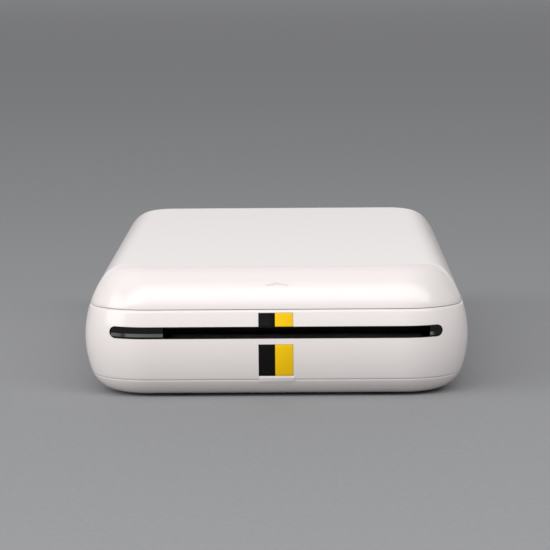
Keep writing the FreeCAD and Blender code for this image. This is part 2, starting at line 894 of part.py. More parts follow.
def ledges():
    """Outlines of the three ledges of a side, each parallel to the toe that holds under it."""
    outlines = []
    for share in HOOK_PLACE_SHARES:
        front = from_front(S.body_length * share - S.hook_length / 2)
        back = front + S.hook_length
        bottom = TOE_TOP + S.ledge_room
        top = COVER_SEAM - S.ledge_top_room
        outlines.append([(front, bottom), (back, bottom + HOOK_RISE), (back, top), (front, top)])
    return outlines


def stripe_cut(bottom, top, depth, proud):
    """Side view of a cut in the front wall, from in front of the barrel to a depth under it."""
    return [
        (-HALF_LENGTH - proud, bottom),
        (from_front(barrel_inset(bottom, depth)), bottom), Bend(S.barrel_radius - depth, hollow=True),
        (from_front(barrel_inset(top, depth)), top),
        (-HALF_LENGTH - proud, top),
    ]


def make_side_band():
    """The middle shell: one wall round the case, open above and below."""
    body = new_body("side_band")
    inner = S.shell_wall
    break_height = COVER_SEAM - S.band_edge_break
    ring(body, "wall", [
        (bottom_edge_inset(BOTTOM_SEAM, 0), BOTTOM_SEAM), Bend(S.edge_radius),
        bottom_joint(0), Bend(S.barrel_radius),
        (barrel_inset(break_height, 0), break_height),
        (barrel_inset(break_height, 0) + S.band_edge_break, COVER_SEAM),
        (barrel_inset(COVER_SEAM, inner), COVER_SEAM),
        (inner, WIDE_HEIGHT),
        bottom_joint(inner),
        (bottom_edge_inset(BOTTOM_SEAM, inner), BOTTOM_SEAM),
    ])
    ledge_pad = pad(body, "ledges", "YZ_Plane", LEDGE_INSIDE, LEDGE_INSIDE + S.ledge_root, ledges())
    mirror = body.newObject("PartDesign::Mirrored", "left_ledges")
    mirror.Originals = [ledge_pad]
    mirror.MirrorPlane = (plane_of(body, "YZ_Plane"), [""])
    body.Tip = mirror
    doc.recompute()
    front_ear = (from_front(S.shell_wall), from_front(S.front_screw_place + S.ear_width / 2))
    side_ear = about(REAR_SCREW_Y, S.ear_width)
    side_reach = (REAR_SCREW_X - S.ear_width / 2, HALF_WIDTH - S.shell_wall)
    pad(body, "screw_ears", "XY_Plane", RAIL_TOP, BAND_EAR_TOP, [
        rectangle(about(-FRONT_SCREW_X, S.ear_width), front_ear),
        rectangle(about(FRONT_SCREW_X, S.ear_width), front_ear),
        rectangle(side_reach, side_ear),
        rectangle((-side_reach[1], -side_reach[0]), side_ear),
    ])
    thread = S.case_screw_radius + S.screw_thread_room
    pocket(body, "screw_holes", "XY_Plane", RAIL_TOP, BAND_EAR_TOP, [
        many_sided(x, y, thread) for x, y in CASE_SCREW_PLACES
    ])
    outside_front = -HALF_LENGTH - S.cut_overrun
    slot = stadium((0, SLOT_CENTRE), SLOT_WIDTH, S.slot_height)
    pocket(body, "exit_slot", "XZ_Plane", outside_front, from_front(S.liner_back), [slot])
    depth = S.stripe_depth + S.stripe_room
    room = S.stripe_room
    pocket(body, "stripe_recess", "YZ_Plane", STRIPE_LEFT - room, STRIPE_RIGHT + room, [
        stripe_cut(SLOT_TOP - room, UPPER_STRIPE_TOP + room, depth, S.cut_overrun),
        stripe_cut(LOWER_STRIPE_BOTTOM - room, LOWER_STRIPE_TOP + room, depth, S.cut_overrun),
    ])
    button_room = S.button_room * 2
    button_at = (from_front(S.button_place), WIDE_HEIGHT)
    hole = stadium(button_at, S.button_length + button_room, S.button_height + button_room)
    pocket(body, "button_hole", "YZ_Plane", HALF_WIDTH - S.shell_wall * 2, HALF_WIDTH + S.cut_overrun, [hole])
    port_at = (S.port_x, BOARD_TOP + S.port_height / 2)
    port_hole = stadium(port_at, S.port_width + S.port_room * 2, S.port_height + S.port_room * 2)
    lamp_hole = Round(S.lamp_x, S.pipe_height, S.pipe_radius + S.pipe_room)
    pocket(body, "rear_holes", "XZ_Plane", HALF_LENGTH - S.board_back_inset, HALF_LENGTH + S.cut_overrun, [
        port_hole, lamp_hole,
    ])


def make_bottom_shell():
    """The tray: a rounded pan with a lip, screw bosses and board standoffs."""
    body = new_body("bottom_shell")
    inner = S.shell_wall
    seam = BOTTOM_SEAM
    lip_outside = bottom_edge_inset(seam, inner) + S.lip_room
    lip_inside = lip_outside + S.lip_thickness
    radius = S.edge_radius - inner
    run = BOTTOM_FLAT_INSET - lip_inside
    lip_root = BOTTOM_EDGE_HEIGHT - root(radius * radius - run * run)
    ring(body, "rim", [
        (BOTTOM_FLAT_INSET, FLOOR_INSIDE),
        (BOTTOM_FLAT_INSET, S.foot_stand), Bend(S.edge_radius),
        (bottom_edge_inset(seam, 0), seam),
        (lip_outside, seam),
        (lip_outside, seam + S.lip_height),
        (lip_inside, seam + S.lip_height),
        (lip_inside, lip_root),
    ])
    pad(body, "floor", "XY_Plane", S.foot_stand, FLOOR_INSIDE, [case_plan(BOTTOM_FLAT_INSET)])
    base = FLOOR_INSIDE - S.shell_wall / 2
    pad(body, "bosses", "XY_Plane", base, S.boss_top, [
        many_sided(x, y, S.boss_radius) for x, y in CASE_SCREW_PLACES
    ])
    pad(body, "standoffs", "XY_Plane", base, S.board_height, [
        many_sided(x, y, S.standoff_radius) for x, y in BOARD_SCREW_PLACES + BOARD_REST_PLACES
    ])
    below = -S.cut_overrun
    head = S.case_screw_head_radius + S.screw_head_room
    shank = S.case_screw_radius + S.screw_hole_room
    pocket(body, "head_bores", "XY_Plane", below, S.screw_seat_height, [
        many_sided(x, y, head) for x, y in CASE_SCREW_PLACES
    ])
    pocket(body, "screw_holes", "XY_Plane", S.foot_stand, S.boss_top, [
        many_sided(x, y, shank) for x, y in CASE_SCREW_PLACES
    ])
    thread = S.board_screw_radius + S.screw_thread_room
    pocket(body, "board_screw_holes", "XY_Plane", S.board_height - S.board_screw_length, S.board_height, [
        many_sided(x, y, thread) for x, y in BOARD_SCREW_PLACES
    ])
    foot = S.foot_radius + S.foot_room
    recesses = [many_sided(x, y, foot) for x, y in FOOT_PLACES]
    pocket(body, "foot_recesses", "XY_Plane", below, S.foot_height, recesses)
    notch_x = about(S.port_x, S.port_width + S.port_room * 2)
    notch = rectangle(notch_x, (seam, seam + S.lip_height + S.cut_overrun))
    lip_front = HALF_LENGTH - lip_inside - S.cut_overrun
    pocket(body, "port_notch", "XZ_Plane", lip_front, HALF_LENGTH, [notch])


def make_stripes():
    """Four thin inlays that follow the barrel of the front wall."""
    spans = {
        "upper": (SLOT_TOP, UPPER_STRIPE_TOP),
        "lower": (LOWER_STRIPE_BOTTOM, LOWER_STRIPE_TOP),
    }
    sides = {
        "black": (STRIPE_LEFT, STRIPE_MIDDLE),
        "yellow": (STRIPE_MIDDLE, STRIPE_RIGHT),
    }
    for level, (bottom, top) in spans.items():
        for colour, (left, right) in sides.items():
            body = new_body(f"{colour}_stripe_{level}")
            back = Bend(S.barrel_radius - S.stripe_depth, hollow=True)
            pad(body, "inlay", "YZ_Plane", left, right, [[
                (from_front(barrel_inset(bottom, 0)), bottom),
                (from_front(barrel_inset(bottom, S.stripe_depth)), bottom), back,
                (from_front(barrel_inset(top, S.stripe_depth)), top),
                (from_front(barrel_inset(top, 0)), top), Bend(S.barrel_radius),
            ]])


def make_slot_liner():
    """The black mouth of the exit slot, with blind ends beside the paper channel."""
    body = new_body("slot_liner")
    room = S.liner_room * 2
    plug = stadium((0, SLOT_CENTRE), SLOT_WIDTH - room, S.slot_height - room)
    pad(body, "plug", "XZ_Plane", -HALF_LENGTH, from_front(S.liner_back), [plug])
    front = S.liner_front_inset
    curve = S.plan_radius - front
    outside = S.cut_overrun
    pocket(body, "curved_front", "XY_Plane", SLOT_BOTTOM - outside, SLOT_TOP + outside, [[
        (-HALF_WIDTH - outside, -HALF_LENGTH - outside),
        (HALF_WIDTH + outside, -HALF_LENGTH - outside),
        (HALF_WIDTH + outside, from_front(S.plan_radius)),
        (HALF_WIDTH - front, from_front(S.plan_radius)), Bend(curve, hollow=True),
        (HALF_WIDTH - S.plan_radius, from_front(front)),
        (S.plan_radius - HALF_WIDTH, from_front(front)), Bend(curve, hollow=True),
        (front - HALF_WIDTH, from_front(S.plan_radius)),
        (-HALF_WIDTH - outside, from_front(S.plan_radius)),
    ]])
    flange = S.liner_flange_inset
    bend = S.plan_radius - flange
    reach = SLOT_WIDTH / 2 + S.liner_flange_overhang
    corner_x = HALF_WIDTH - S.plan_radius
    corner_place = S.plan_radius - root(bend * bend - (reach - corner_x) * (reach - corner_x))
    flange_z = (SLOT_BOTTOM - S.liner_flange_lap, SLOT_TOP + S.liner_flange_lap)
    pad(body, "flange", "XY_Plane", *flange_z, [[
        (-corner_x, from_front(flange)),
        (corner_x, from_front(flange)), Bend(bend),
        (reach, from_front(corner_place)),
        (reach, from_front(S.liner_back)),
        (-reach, from_front(S.liner_back)),
        (-reach, from_front(corner_place)), Bend(bend),
    ]])
    channel = rectangle((BAY_LEFT, BAY_RIGHT), (SLOT_BOTTOM, SLOT_TOP))
    pocket(body, "paper_channel", "XZ_Plane", -HALF_LENGTH, from_front(S.liner_back), [channel])


# Frame

def wall_outline(drop_back):
    """Side view of one side wall of the frame: deep at the front, where the rollers run."""
    return [
        (from_front(S.frame_front), S.frame_bottom),
        (from_front(drop_back), S.frame_bottom),
        (from_front(drop_back), FLOOR_BOTTOM),
        (from_front(REAR_WALL_BACK), FLOOR_BOTTOM),
        (from_front(REAR_WALL_BACK), S.bay_wall_top),
        (from_front(S.bridge_back), S.bay_wall_top),
        (from_front(S.bridge_back), S.bridge_seat_top),
        (from_front(S.post_front), S.bridge_seat_top),
        (from_front(S.post_front), S.bay_wall_top),
        (from_front(S.frame_front), S.bay_wall_top),
    ]


def make_chassis():
    """The black inner frame: paper bay, side walls with bearing holes, and screw ears."""
    body = new_body("chassis")
    across = (FRAME_LEFT, FRAME_RIGHT)
    rise = FLOOR_BOTTOM - S.pick_height
    half_window = root(PICK_RADIUS * PICK_RADIUS - rise * rise)
    window_y = (
        from_front(S.pick_place) - half_window - S.pick_window_room,
        from_front(S.pick_place) + half_window + S.pick_window_room,
    )
    window_x = about(PAPER_MIDDLE, S.pick_roller_width + S.pick_window_room * 2)
    pad(body, "bay_floor", "XY_Plane", FLOOR_BOTTOM, S.bay_floor_height, [
        rectangle(across, (from_front(S.floor_front), from_front(REAR_WALL_BACK))),
        rectangle(window_x, window_y),
        many_sided(SENSOR_X, from_front(S.sensor_place), S.sensor_window_radius),
    ])
    pad(body, "left_wall", "YZ_Plane", FRAME_LEFT, BAY_LEFT, [wall_outline(S.left_drop_back)])
    pad(body, "right_wall", "YZ_Plane", BAY_RIGHT, FRAME_RIGHT, [wall_outline(S.right_drop_back)])
    separator = (from_front(S.bay_front - S.separator_thickness), from_front(S.bay_front))
    separator_bottom = S.bay_floor_height + S.separator_gap
    pad(body, "separator", "XY_Plane", separator_bottom, S.bay_wall_top, [rectangle(across, separator)])
    rear_y = (from_front(BAY_BACK), from_front(REAR_WALL_BACK))
    pad(body, "rear_wall", "XY_Plane", S.boss_top, S.bay_wall_top, [
        rectangle((-REAR_WALL_HALF, REAR_WALL_HALF), rear_y),
    ])
    rail = [
        (FRAME_LEFT, from_front(S.rail_front)),
        (FRONT_SCREW_X + S.ear_width, from_front(S.rail_front)),
        (FRAME_RIGHT, from_front(S.frame_front)),
        (FRAME_RIGHT, from_front(S.rail_back)),
        (FRAME_LEFT, from_front(S.rail_back)),
    ]
    ear_y = about(REAR_SCREW_Y, S.ear_width)
    ear_x = (REAR_WALL_HALF - S.ear_overlap, REAR_SCREW_X + S.ear_width / 2)
    pad(body, "rail_and_ears", "XY_Plane", S.boss_top, RAIL_TOP, [
        rail,
        rectangle(ear_x, ear_y),
        rectangle((-ear_x[1], -ear_x[0]), ear_y),
    ])
    seat_y = (from_front(S.post_front), from_front(S.bridge_back))
    pad(body, "bridge_seats", "XY_Plane", S.bridge_seat_bottom, S.bridge_seat_top, [
        rectangle((FRAME_LEFT, BAY_LEFT + S.bridge_seat_reach), seat_y),
        rectangle((BAY_RIGHT - S.bridge_seat_reach, FRAME_RIGHT), seat_y),
    ])
    shank = S.case_screw_radius + S.screw_hole_room
    pocket(body, "screw_holes", "XY_Plane", S.boss_top, RAIL_TOP, [
        many_sided(x, y, shank) for x, y in CASE_SCREW_PLACES
    ])
    thread = S.bridge_screw_radius + S.screw_thread_room
    pocket(body, "bridge_screw_holes", "XY_Plane", S.bridge_seat_bottom, S.bridge_seat_top, [
        many_sided(PAPER_MIDDLE - BRIDGE_SCREW_X, from_front(BRIDGE_MIDDLE), thread),
        many_sided(PAPER_MIDDLE + BRIDGE_SCREW_X, from_front(BRIDGE_MIDDLE), thread),
    ])
    shared = [
        Round(from_front(S.platen_place), S.platen_height, S.platen_shaft_radius + S.bush_wall + S.fit_room),
        Round(from_front(S.pick_place), S.pick_height, S.pick_shaft_radius + S.bush_wall + S.fit_room),
        Round(from_front(S.pivot_place), S.pivot_height, S.pivot_radius + S.running_room),
    ]
    pin_seats = [
        Round(from_front(IDLER_AT[0]), IDLER_AT[1], S.gear_pin_radius + S.fit_room),
        Round(from_front(REDUCTION_AT[0]), REDUCTION_AT[1], S.gear_pin_radius + S.fit_room),
    ]
    motor_y = from_front(S.motor_place)
    motor_thread = S.motor_screw_radius + S.fit_room
    motor_holes = [
        Round(motor_y, S.motor_height, S.motor_boss_radius + S.fit_room),
        many_sided(motor_y - S.motor_screw_spread, S.motor_height, motor_thread),
        many_sided(motor_y + S.motor_screw_spread, S.motor_height, motor_thread),
    ]
    pocket(body, "left_holes", "YZ_Plane", FRAME_LEFT, BAY_LEFT, shared + motor_holes)
    pocket(body, "pin_seats", "YZ_Plane", FRAME_LEFT, PIN_SEAT_END, pin_seats)
    pocket(body, "right_holes", "YZ_Plane", BAY_RIGHT, FRAME_RIGHT, shared)


# Rollers, bushes and gears

def make_rollers():
    """Rubber sleeves on steel shafts, carried in bushes in the frame's walls."""
    platen_y = from_front(S.platen_place)
    pick_y = from_front(S.pick_place)
    sleeve_left = BAY_LEFT + S.roller_end_room
    sleeve_length = BAY_WIDTH - S.roller_end_room * 2
    platen_bore = S.platen_shaft_radius + S.fit_room
    pick_bore = S.pick_shaft_radius + S.fit_room
    shaft_right = FRAME_RIGHT + S.bush_overhang
    platen = (platen_y, S.platen_height)
    pick = (pick_y, S.pick_height)
    shaft_left = INNER_GEAR_LEFT
    shaft_length = shaft_right - shaft_left
    pick_left = PAPER_MIDDLE - S.pick_roller_width / 2
    keep(
        tube("sleeve", ALONG_X, sleeve_left, *platen, S.platen_radius, platen_bore, sleeve_length),
        "platen_roller",
    )
    keep(rod("shaft", ALONG_X, shaft_left, *platen, S.platen_shaft_radius, shaft_length), "platen_shaft")
    keep(
        tube("tyre", ALONG_X, pick_left, *pick, PICK_RADIUS, pick_bore, S.pick_roller_width),
        "pick_roller",
    )
    keep(rod("shaft", ALONG_X, shaft_left, *pick, S.pick_shaft_radius, shaft_length), "pick_shaft")
    for name, y, z, shaft in (
        ("platen_bushes", platen_y, S.platen_height, S.platen_shaft_radius),
        ("pick_bushes", pick_y, S.pick_height, S.pick_shaft_radius),
    ):
        bore = shaft + S.running_room
        outer = shaft + S.bush_wall
        length = S.frame_wall + S.bush_overhang
        sides = [
            tube("left_bush", ALONG_X, FRAME_LEFT - S.bush_overhang, y, z, outer, bore, length),
            tube("right_bush", ALONG_X, BAY_RIGHT, y, z, outer, bore, length),
        ]
        keep(group("bushes", sides), name)


def involute(angle):
    """Involute function of a pressure angle."""
    return math.tan(angle) - angle


def gear_solid(teeth, phase, bore, left, width):
    """A spur gear that starts at x = left; each flank is two chords between three involute points."""
    module = float(S.gear_module)
    pitch = module * teeth / 2
    base = pitch * math.cos(math.radians(float(S.pressure_angle)))
    tip = pitch + module * float(S.addendum_share)
    foot = pitch - module * float(S.dedendum_share)
    pitch_half = (math.pi * module / 2 - float(S.gear_backlash)) / (2 * pitch)
    pitch_involute = involute(math.radians(float(S.pressure_angle)))

    def half_angle(radius):
        """Half of the tooth's angle at a radius."""
        if radius <= base:
            return pitch_half + pitch_involute
        return pitch_half + pitch_involute - involute(math.acos(base / radius))

    def spot(radius, angle):
        """A point of the outline."""
        return FreeCAD.Vector(radius * math.cos(angle), radius * math.sin(angle), float(left))

    corners = []
    for tooth in range(teeth):
        middle = phase + 2 * math.pi * tooth / teeth
        corners += [spot(radius, middle - half_angle(radius)) for radius in (foot, pitch, tip)]
        corners += [spot(radius, middle + half_angle(radius)) for radius in (tip, pitch, foot)]
    outline = Part.makePolygon(corners + corners[:1])
    blank = Part.Face(outline).extrude(FreeCAD.Vector(0, 0, float(width)))
    return blank.cut(Part.makeCylinder(float(bore), float(width), FreeCAD.Vector(0, 0, float(left))))


def web_recess(teeth, bore, left, width):
    """A ring-shaped hollow in a gear's outer face, between its rim and its hub."""
    outer = float(pitch_radius(teeth)) - float(S.gear_module) * float(S.dedendum_share) - float(S.gear_rim)
    inner = float(bore) + float(S.gear_hub_wall)
    depth = float(width) - float(S.gear_web)
    corner = FreeCAD.Vector(0, 0, float(left))
    return Part.makeCylinder(outer, depth, corner).cut(Part.makeCylinder(inner, depth, corner))


def meshing_phase(phase, teeth, here, there, other_teeth):
    """Phase of a gear whose teeth fall in the gaps of the gear it meshes with."""
    direction = math.atan2(number(there[1] - here[1]), number(there[0] - here[0]))
    lead = (direction - phase) * teeth / (2 * math.pi)
    return direction + math.pi - (0.5 - lead) * 2 * math.pi / other_teeth


def set_gear(label, shape, centre):
    """Place a finished gear on its axis."""
    item = doc.addObject("Part::Feature", label)
    item.Shape = shape
    item.Placement = FreeCAD.Placement(
        FreeCAD.Vector(0, number(from_front(centre[0])), number(centre[1])), ALONG_X,
    )
    keep(item, label)


def make_gears():
    """The train from motor pinion to platen, in mesh, with two planes of teeth."""
    face = S.gear_face
    platen_phase = 0.0
    idler_phase = meshing_phase(platen_phase, PLATEN_TEETH, PLATEN_AT, IDLER_AT, IDLER_TEETH)
    pick_phase = meshing_phase(idler_phase, IDLER_TEETH, IDLER_AT, PICK_AT, PICK_TEETH)
    small_phase = meshing_phase(pick_phase, PICK_TEETH, PICK_AT, REDUCTION_AT, REDUCTION_SMALL_TEETH)
    big_phase = 0.0
    pinion_phase = meshing_phase(big_phase, REDUCTION_TEETH, REDUCTION_AT, MOTOR_AT, PINION_TEETH)

    platen_bore = S.platen_shaft_radius + S.fit_room
    platen = gear_solid(PLATEN_TEETH, platen_phase, platen_bore, INNER_GEAR_LEFT, face)
    platen = platen.cut(web_recess(PLATEN_TEETH, platen_bore, INNER_GEAR_LEFT, face))
    set_gear("platen_gear", platen, PLATEN_AT)

    pick_bore = S.pick_shaft_radius + S.fit_room
    pick = gear_solid(PICK_TEETH, pick_phase, pick_bore, INNER_GEAR_LEFT, face)
    set_gear("pick_gear", pick, PICK_AT)

    pin_bore = S.gear_pin_radius + S.running_room
    idler = gear_solid(IDLER_TEETH, idler_phase, pin_bore, INNER_GEAR_LEFT, face)
    set_gear("idler_gear", idler, IDLER_AT)

    small_width = face + S.gear_plane_gap
    small = gear_solid(REDUCTION_SMALL_TEETH, small_phase, pin_bore, OUTER_GEAR_RIGHT, small_width)
    big = gear_solid(REDUCTION_TEETH, big_phase, pin_bore, OUTER_GEAR_LEFT, face)
    big = big.cut(web_recess(REDUCTION_TEETH, pin_bore, OUTER_GEAR_LEFT, face))
    set_gear("reduction_gear", big.fuse(small).removeSplitter(), REDUCTION_AT)

    shaft_bore = S.motor_shaft_radius + S.fit_room
    pinion = gear_solid(PINION_TEETH, pinion_phase, shaft_bore, OUTER_GEAR_LEFT, face)
    set_gear("motor_pinion", pinion, MOTOR_AT)


def make_gear_pins():
    """Steel pins for the idler and the reduction gear, with a clip on each end."""
    clips = []
    for name, centre, gear_left in (
        ("idler_pin", IDLER_AT, INNER_GEAR_LEFT),
        ("reduction_pin", REDUCTION_AT, OUTER_GEAR_LEFT),
    ):
        y = from_front(centre[0])
        clip_left = gear_left - S.clip_gap - S.clip_thickness
        keep(rod("pin", ALONG_X, clip_left, y, centre[1], S.gear_pin_radius, PIN_SEAT_END - clip_left), name)
        bore = S.gear_pin_radius + S.fit_room
        ring_at = (clip_left, y, centre[1])
        blank = many_sided_rod("clip_blank", ALONG_X, *ring_at, S.clip_radius, S.clip_thickness)
        hole = rod("clip_bore", ALONG_X, *ring_at, bore, S.clip_thickness)
        clips.append(cut("clip", blank, hole))
    keep(group("clips", clips), "gear_clips")


def make_motor():
    """A small flat-sided motor screwed to the left wall, and its shaft."""
    y = from_front(S.motor_place)
    z = S.motor_height
    body = new_body("motor")
    can_right = BAY_LEFT + S.motor_can_length
    flat = S.motor_can_height / 2
    reach = root(S.motor_can_width * S.motor_can_width / 4 - flat * flat)
    radius = S.motor_can_width / 2
    can = [
        (y - reach, z - flat), (y + reach, z - flat), Bend(radius), (y + radius, z), Bend(radius),
        (y + reach, z + flat), (y - reach, z + flat), Bend(radius), (y - radius, z), Bend(radius),
    ]
    pad(body, "can", "YZ_Plane", BAY_LEFT, can_right, [can])
    nose_left = BAY_LEFT - S.motor_boss_length
    pad(body, "nose", "YZ_Plane", nose_left, BAY_LEFT, [Round(y, z, S.motor_boss_radius)])
    cap_right = can_right + S.motor_end_cap
    pad(body, "end_cap", "YZ_Plane", can_right, cap_right, [many_sided(y, z, S.motor_boss_radius * 2)])
    bore = S.motor_shaft_radius + S.running_room
    pocket(body, "shaft_bore", "YZ_Plane", nose_left, BAY_LEFT + S.motor_boss_length, [Round(y, z, bore)])
    thread = S.motor_screw_radius + S.fit_room
    pocket(body, "screw_holes", "YZ_Plane", BAY_LEFT, BAY_LEFT + S.motor_screw_length - S.frame_wall, [
        many_sided(y - S.motor_screw_spread, z, thread), many_sided(y + S.motor_screw_spread, z, thread),
    ])
    shaft_right = BAY_LEFT + S.motor_boss_length
    keep(
        rod("shaft", ALONG_X, OUTER_GEAR_LEFT, y, z, S.motor_shaft_radius, shaft_right - OUTER_GEAR_LEFT),
        "motor_shaft",
    )
    screws = []
    head_left = FRAME_LEFT - S.motor_screw_head_height
    for side in (-1, 1):
        spot = y + S.motor_screw_spread * side
        head_size = (S.motor_screw_head_radius, S.motor_screw_head_height)
        shank_size = (S.motor_screw_radius, S.motor_screw_length)
        head = many_sided_rod("head", ALONG_X, head_left, spot, z, *head_size)
        shank = many_sided_rod("shank", ALONG_X, FRAME_LEFT, spot, z, *shank_size)
        screws.append(fuse("motor_screw", [head, shank]))
    keep(group("screws", screws), "motor_screws")


# Print head

def make_head():
    """The ceramic strip under its heat sink, which pivots on two pins at the back."""
    strip_x = (BAY_LEFT + S.strip_side_room, BAY_RIGHT - S.strip_side_room)
    strip_y = about(from_front(S.platen_place), S.strip_length)
    keep(block("strip", strip_x, strip_y, (HEAD_BOTTOM, SINK_BOTTOM)), "print_head_strip")

    body = new_body("heat_sink")
    sink_y = (from_front(S.sink_front), from_front(S.sink_back))
    pad(body, "slab", "YZ_Plane", SINK_LEFT, SINK_RIGHT, [rectangle(sink_y, (SINK_BOTTOM, SINK_TOP))])
    first = S.sink_front + S.sink_groove_pitch
    groove_z = (SINK_TOP - S.sink_groove_depth, SINK_TOP)
    clear = HEAD_SPRING_REACH - S.head_spring_radius * 2
    groove = pocket(body, "groove", "YZ_Plane", PAPER_MIDDLE - clear, PAPER_MIDDLE + clear, [
        rectangle((from_front(first), from_front(first + S.sink_groove_width)), groove_z),
    ])
    pattern = body.newObject("PartDesign::LinearPattern", "grooves")
    pattern.Originals = [groove]
    pattern.Direction = (plane_of(body, "XZ_Plane"), [""])
    pattern.Reversed = True
    pattern.Occurrences = SINK_GROOVE_COUNT
    pattern.setExpression("Length", (S.sink_groove_pitch * (SINK_GROOVE_COUNT - 1)).text)
    body.Tip = pattern
    doc.recompute()
    seat = [Round(from_front(S.pivot_place), S.pivot_height, S.pivot_radius + S.fit_room)]
    pocket(body, "left_pin_seat", "YZ_Plane", SINK_LEFT, SINK_LEFT + S.pivot_seat_depth, seat)
    pocket(body, "right_pin_seat", "YZ_Plane", SINK_RIGHT - S.pivot_seat_depth, SINK_RIGHT, seat)

    pins = []
    pin_at = (from_front(S.pivot_place), S.pivot_height)
    left = (FRAME_LEFT, SINK_LEFT + S.pivot_seat_depth)
    right = (SINK_RIGHT - S.pivot_seat_depth, FRAME_RIGHT)
    for start, end in (left, right):
        pins.append(rod("pin", ALONG_X, start, *pin_at, S.pivot_radius, end - start))
    keep(group("pins", pins), "head_pivot_pins")


def make_head_bridge():
    """The steel bridge over the head, its two screws and the two springs under it."""
    body = new_body("head_bridge")
    y = (from_front(S.bridge_front), from_front(S.bridge_back))
    lip_top = BRIDGE_TOP + S.bridge_lip - S.bridge_thickness
    thickness = S.bridge_thickness
    room = S.bridge_end_room
    pad(body, "sheet", "YZ_Plane", FRAME_LEFT + room, FRAME_RIGHT - room, [[
        (y[0], S.bridge_seat_top), (y[1], S.bridge_seat_top), (y[1], lip_top),
        (y[1] - thickness, lip_top), (y[1] - thickness, BRIDGE_TOP),
        (y[0], BRIDGE_TOP),
    ]])
    hole = S.bridge_screw_radius + S.screw_hole_room
    spots = [
        (PAPER_MIDDLE - BRIDGE_SCREW_X, from_front(BRIDGE_MIDDLE)),
        (PAPER_MIDDLE + BRIDGE_SCREW_X, from_front(BRIDGE_MIDDLE)),
    ]
    slot_length = (HEAD_SPRING_REACH - S.head_spring_radius * 2) * 2
    slots = stadium((PAPER_MIDDLE, from_front(BRIDGE_MIDDLE)), slot_length, S.head_spring_radius * 2)
    screw_holes = [many_sided(u, v, hole) for u, v in spots]
    pocket(body, "holes", "XY_Plane", S.bridge_seat_top, BRIDGE_TOP, screw_holes + [slots])

    screws = []
    for u, v in spots:
        head_size = (S.bridge_screw_head_radius, S.bridge_screw_head_height)
        head = many_sided_rod("head", ALONG_Z, u, v, BRIDGE_TOP, *head_size)
        bottom = S.bridge_seat_top - S.bridge_screw_depth
        shank = many_sided_rod("shank", ALONG_Z, u, v, bottom, S.bridge_screw_radius, BRIDGE_TOP - bottom)
        screws.append(fuse("bridge_screw", [head, shank]))
    keep(group("screws", screws), "bridge_screws")

    for side, label in ((-1, "left_head_spring"), (1, "right_head_spring")):
        x = PAPER_MIDDLE + HEAD_SPRING_REACH * side
        place = from_front(S.head_spring_place)
        height = S.bridge_seat_top - SINK_TOP
        keep(many_sided_rod("coil", ALONG_Z, x, place, SINK_TOP, S.head_spring_radius, height), label)


# Pressure plate

def make_pressure_plate():
    """The plate that holds the paper down, guided by two posts and pushed by two springs."""
    body = new_body("pressure_plate")
    x = (BAY_LEFT + S.plate_side_room, BAY_RIGHT - S.plate_side_room)
    y = (from_front(PLATE_FRONT), from_front(PLATE_BACK))
    pad(body, "plate", "XY_Plane", PLATE_BOTTOM, PLATE_TOP, [rounded(x, y, S.plate_edge_radius)])
    posts = [many_sided(u, v, S.post_radius) for u, v in POST_PLACES]
    pad(body, "posts", "XY_Plane", PLATE_TOP, POST_TOP, posts)
    for label, (u, v) in zip(("front_plate_spring", "rear_plate_spring"), POST_PLACES):
        bore = S.plate_spring_radius - S.spring_wire * 2
        height = CEILING - PLATE_TOP
        outside = many_sided_rod("coil_outside", ALONG_Z, u, v, PLATE_TOP, S.plate_spring_radius, height)
        inside = many_sided_rod("coil_inside", ALONG_Z, u, v, PLATE_TOP, bore, height)
        keep(cut("coil", outside, inside), label)


# Power button and its switch

def make_power_button():
    """A button that slides through the right wall and presses a switch on the frame."""
    y = from_front(S.button_place)
    z = WIDE_HEIGHT
    body = new_body("power_button")
    flange_top = z + S.button_height / 2 + S.button_flange_reach
    flange_right = HALF_WIDTH - inner_wall_inset(flange_top) - S.button_flange_gap
    flange_left = flange_right - S.button_flange_thickness
    face = HALF_WIDTH - S.button_inset
    reach = S.button_flange_reach * 2
    pad(body, "cap", "YZ_Plane", flange_right, face, [stadium((y, z), S.button_length, S.button_height)])
    pad(body, "flange", "YZ_Plane", flange_left, flange_right, [
        stadium((y, z), S.button_length + reach, S.button_height + reach),
    ])
    plunger_end = FRAME_RIGHT + S.switch_thickness + S.switch_plunger_length
    stem_left = plunger_end + S.button_travel + S.button_press_gap
    pad(body, "stem", "YZ_Plane", stem_left, flange_left, [Round(y, z, S.button_stem_radius)])

    half = S.switch_body / 2
    face_x = FRAME_RIGHT + S.switch_thickness
    case = block("case", (FRAME_RIGHT, face_x), (y - half, y + half), (z - half, z + half))
    plunger = rod("plunger", ALONG_X, face_x, y, z, S.switch_plunger_radius, S.switch_plunger_length)
    keep(fuse("switch", [case, plunger]), "power_switch")


# Electronics

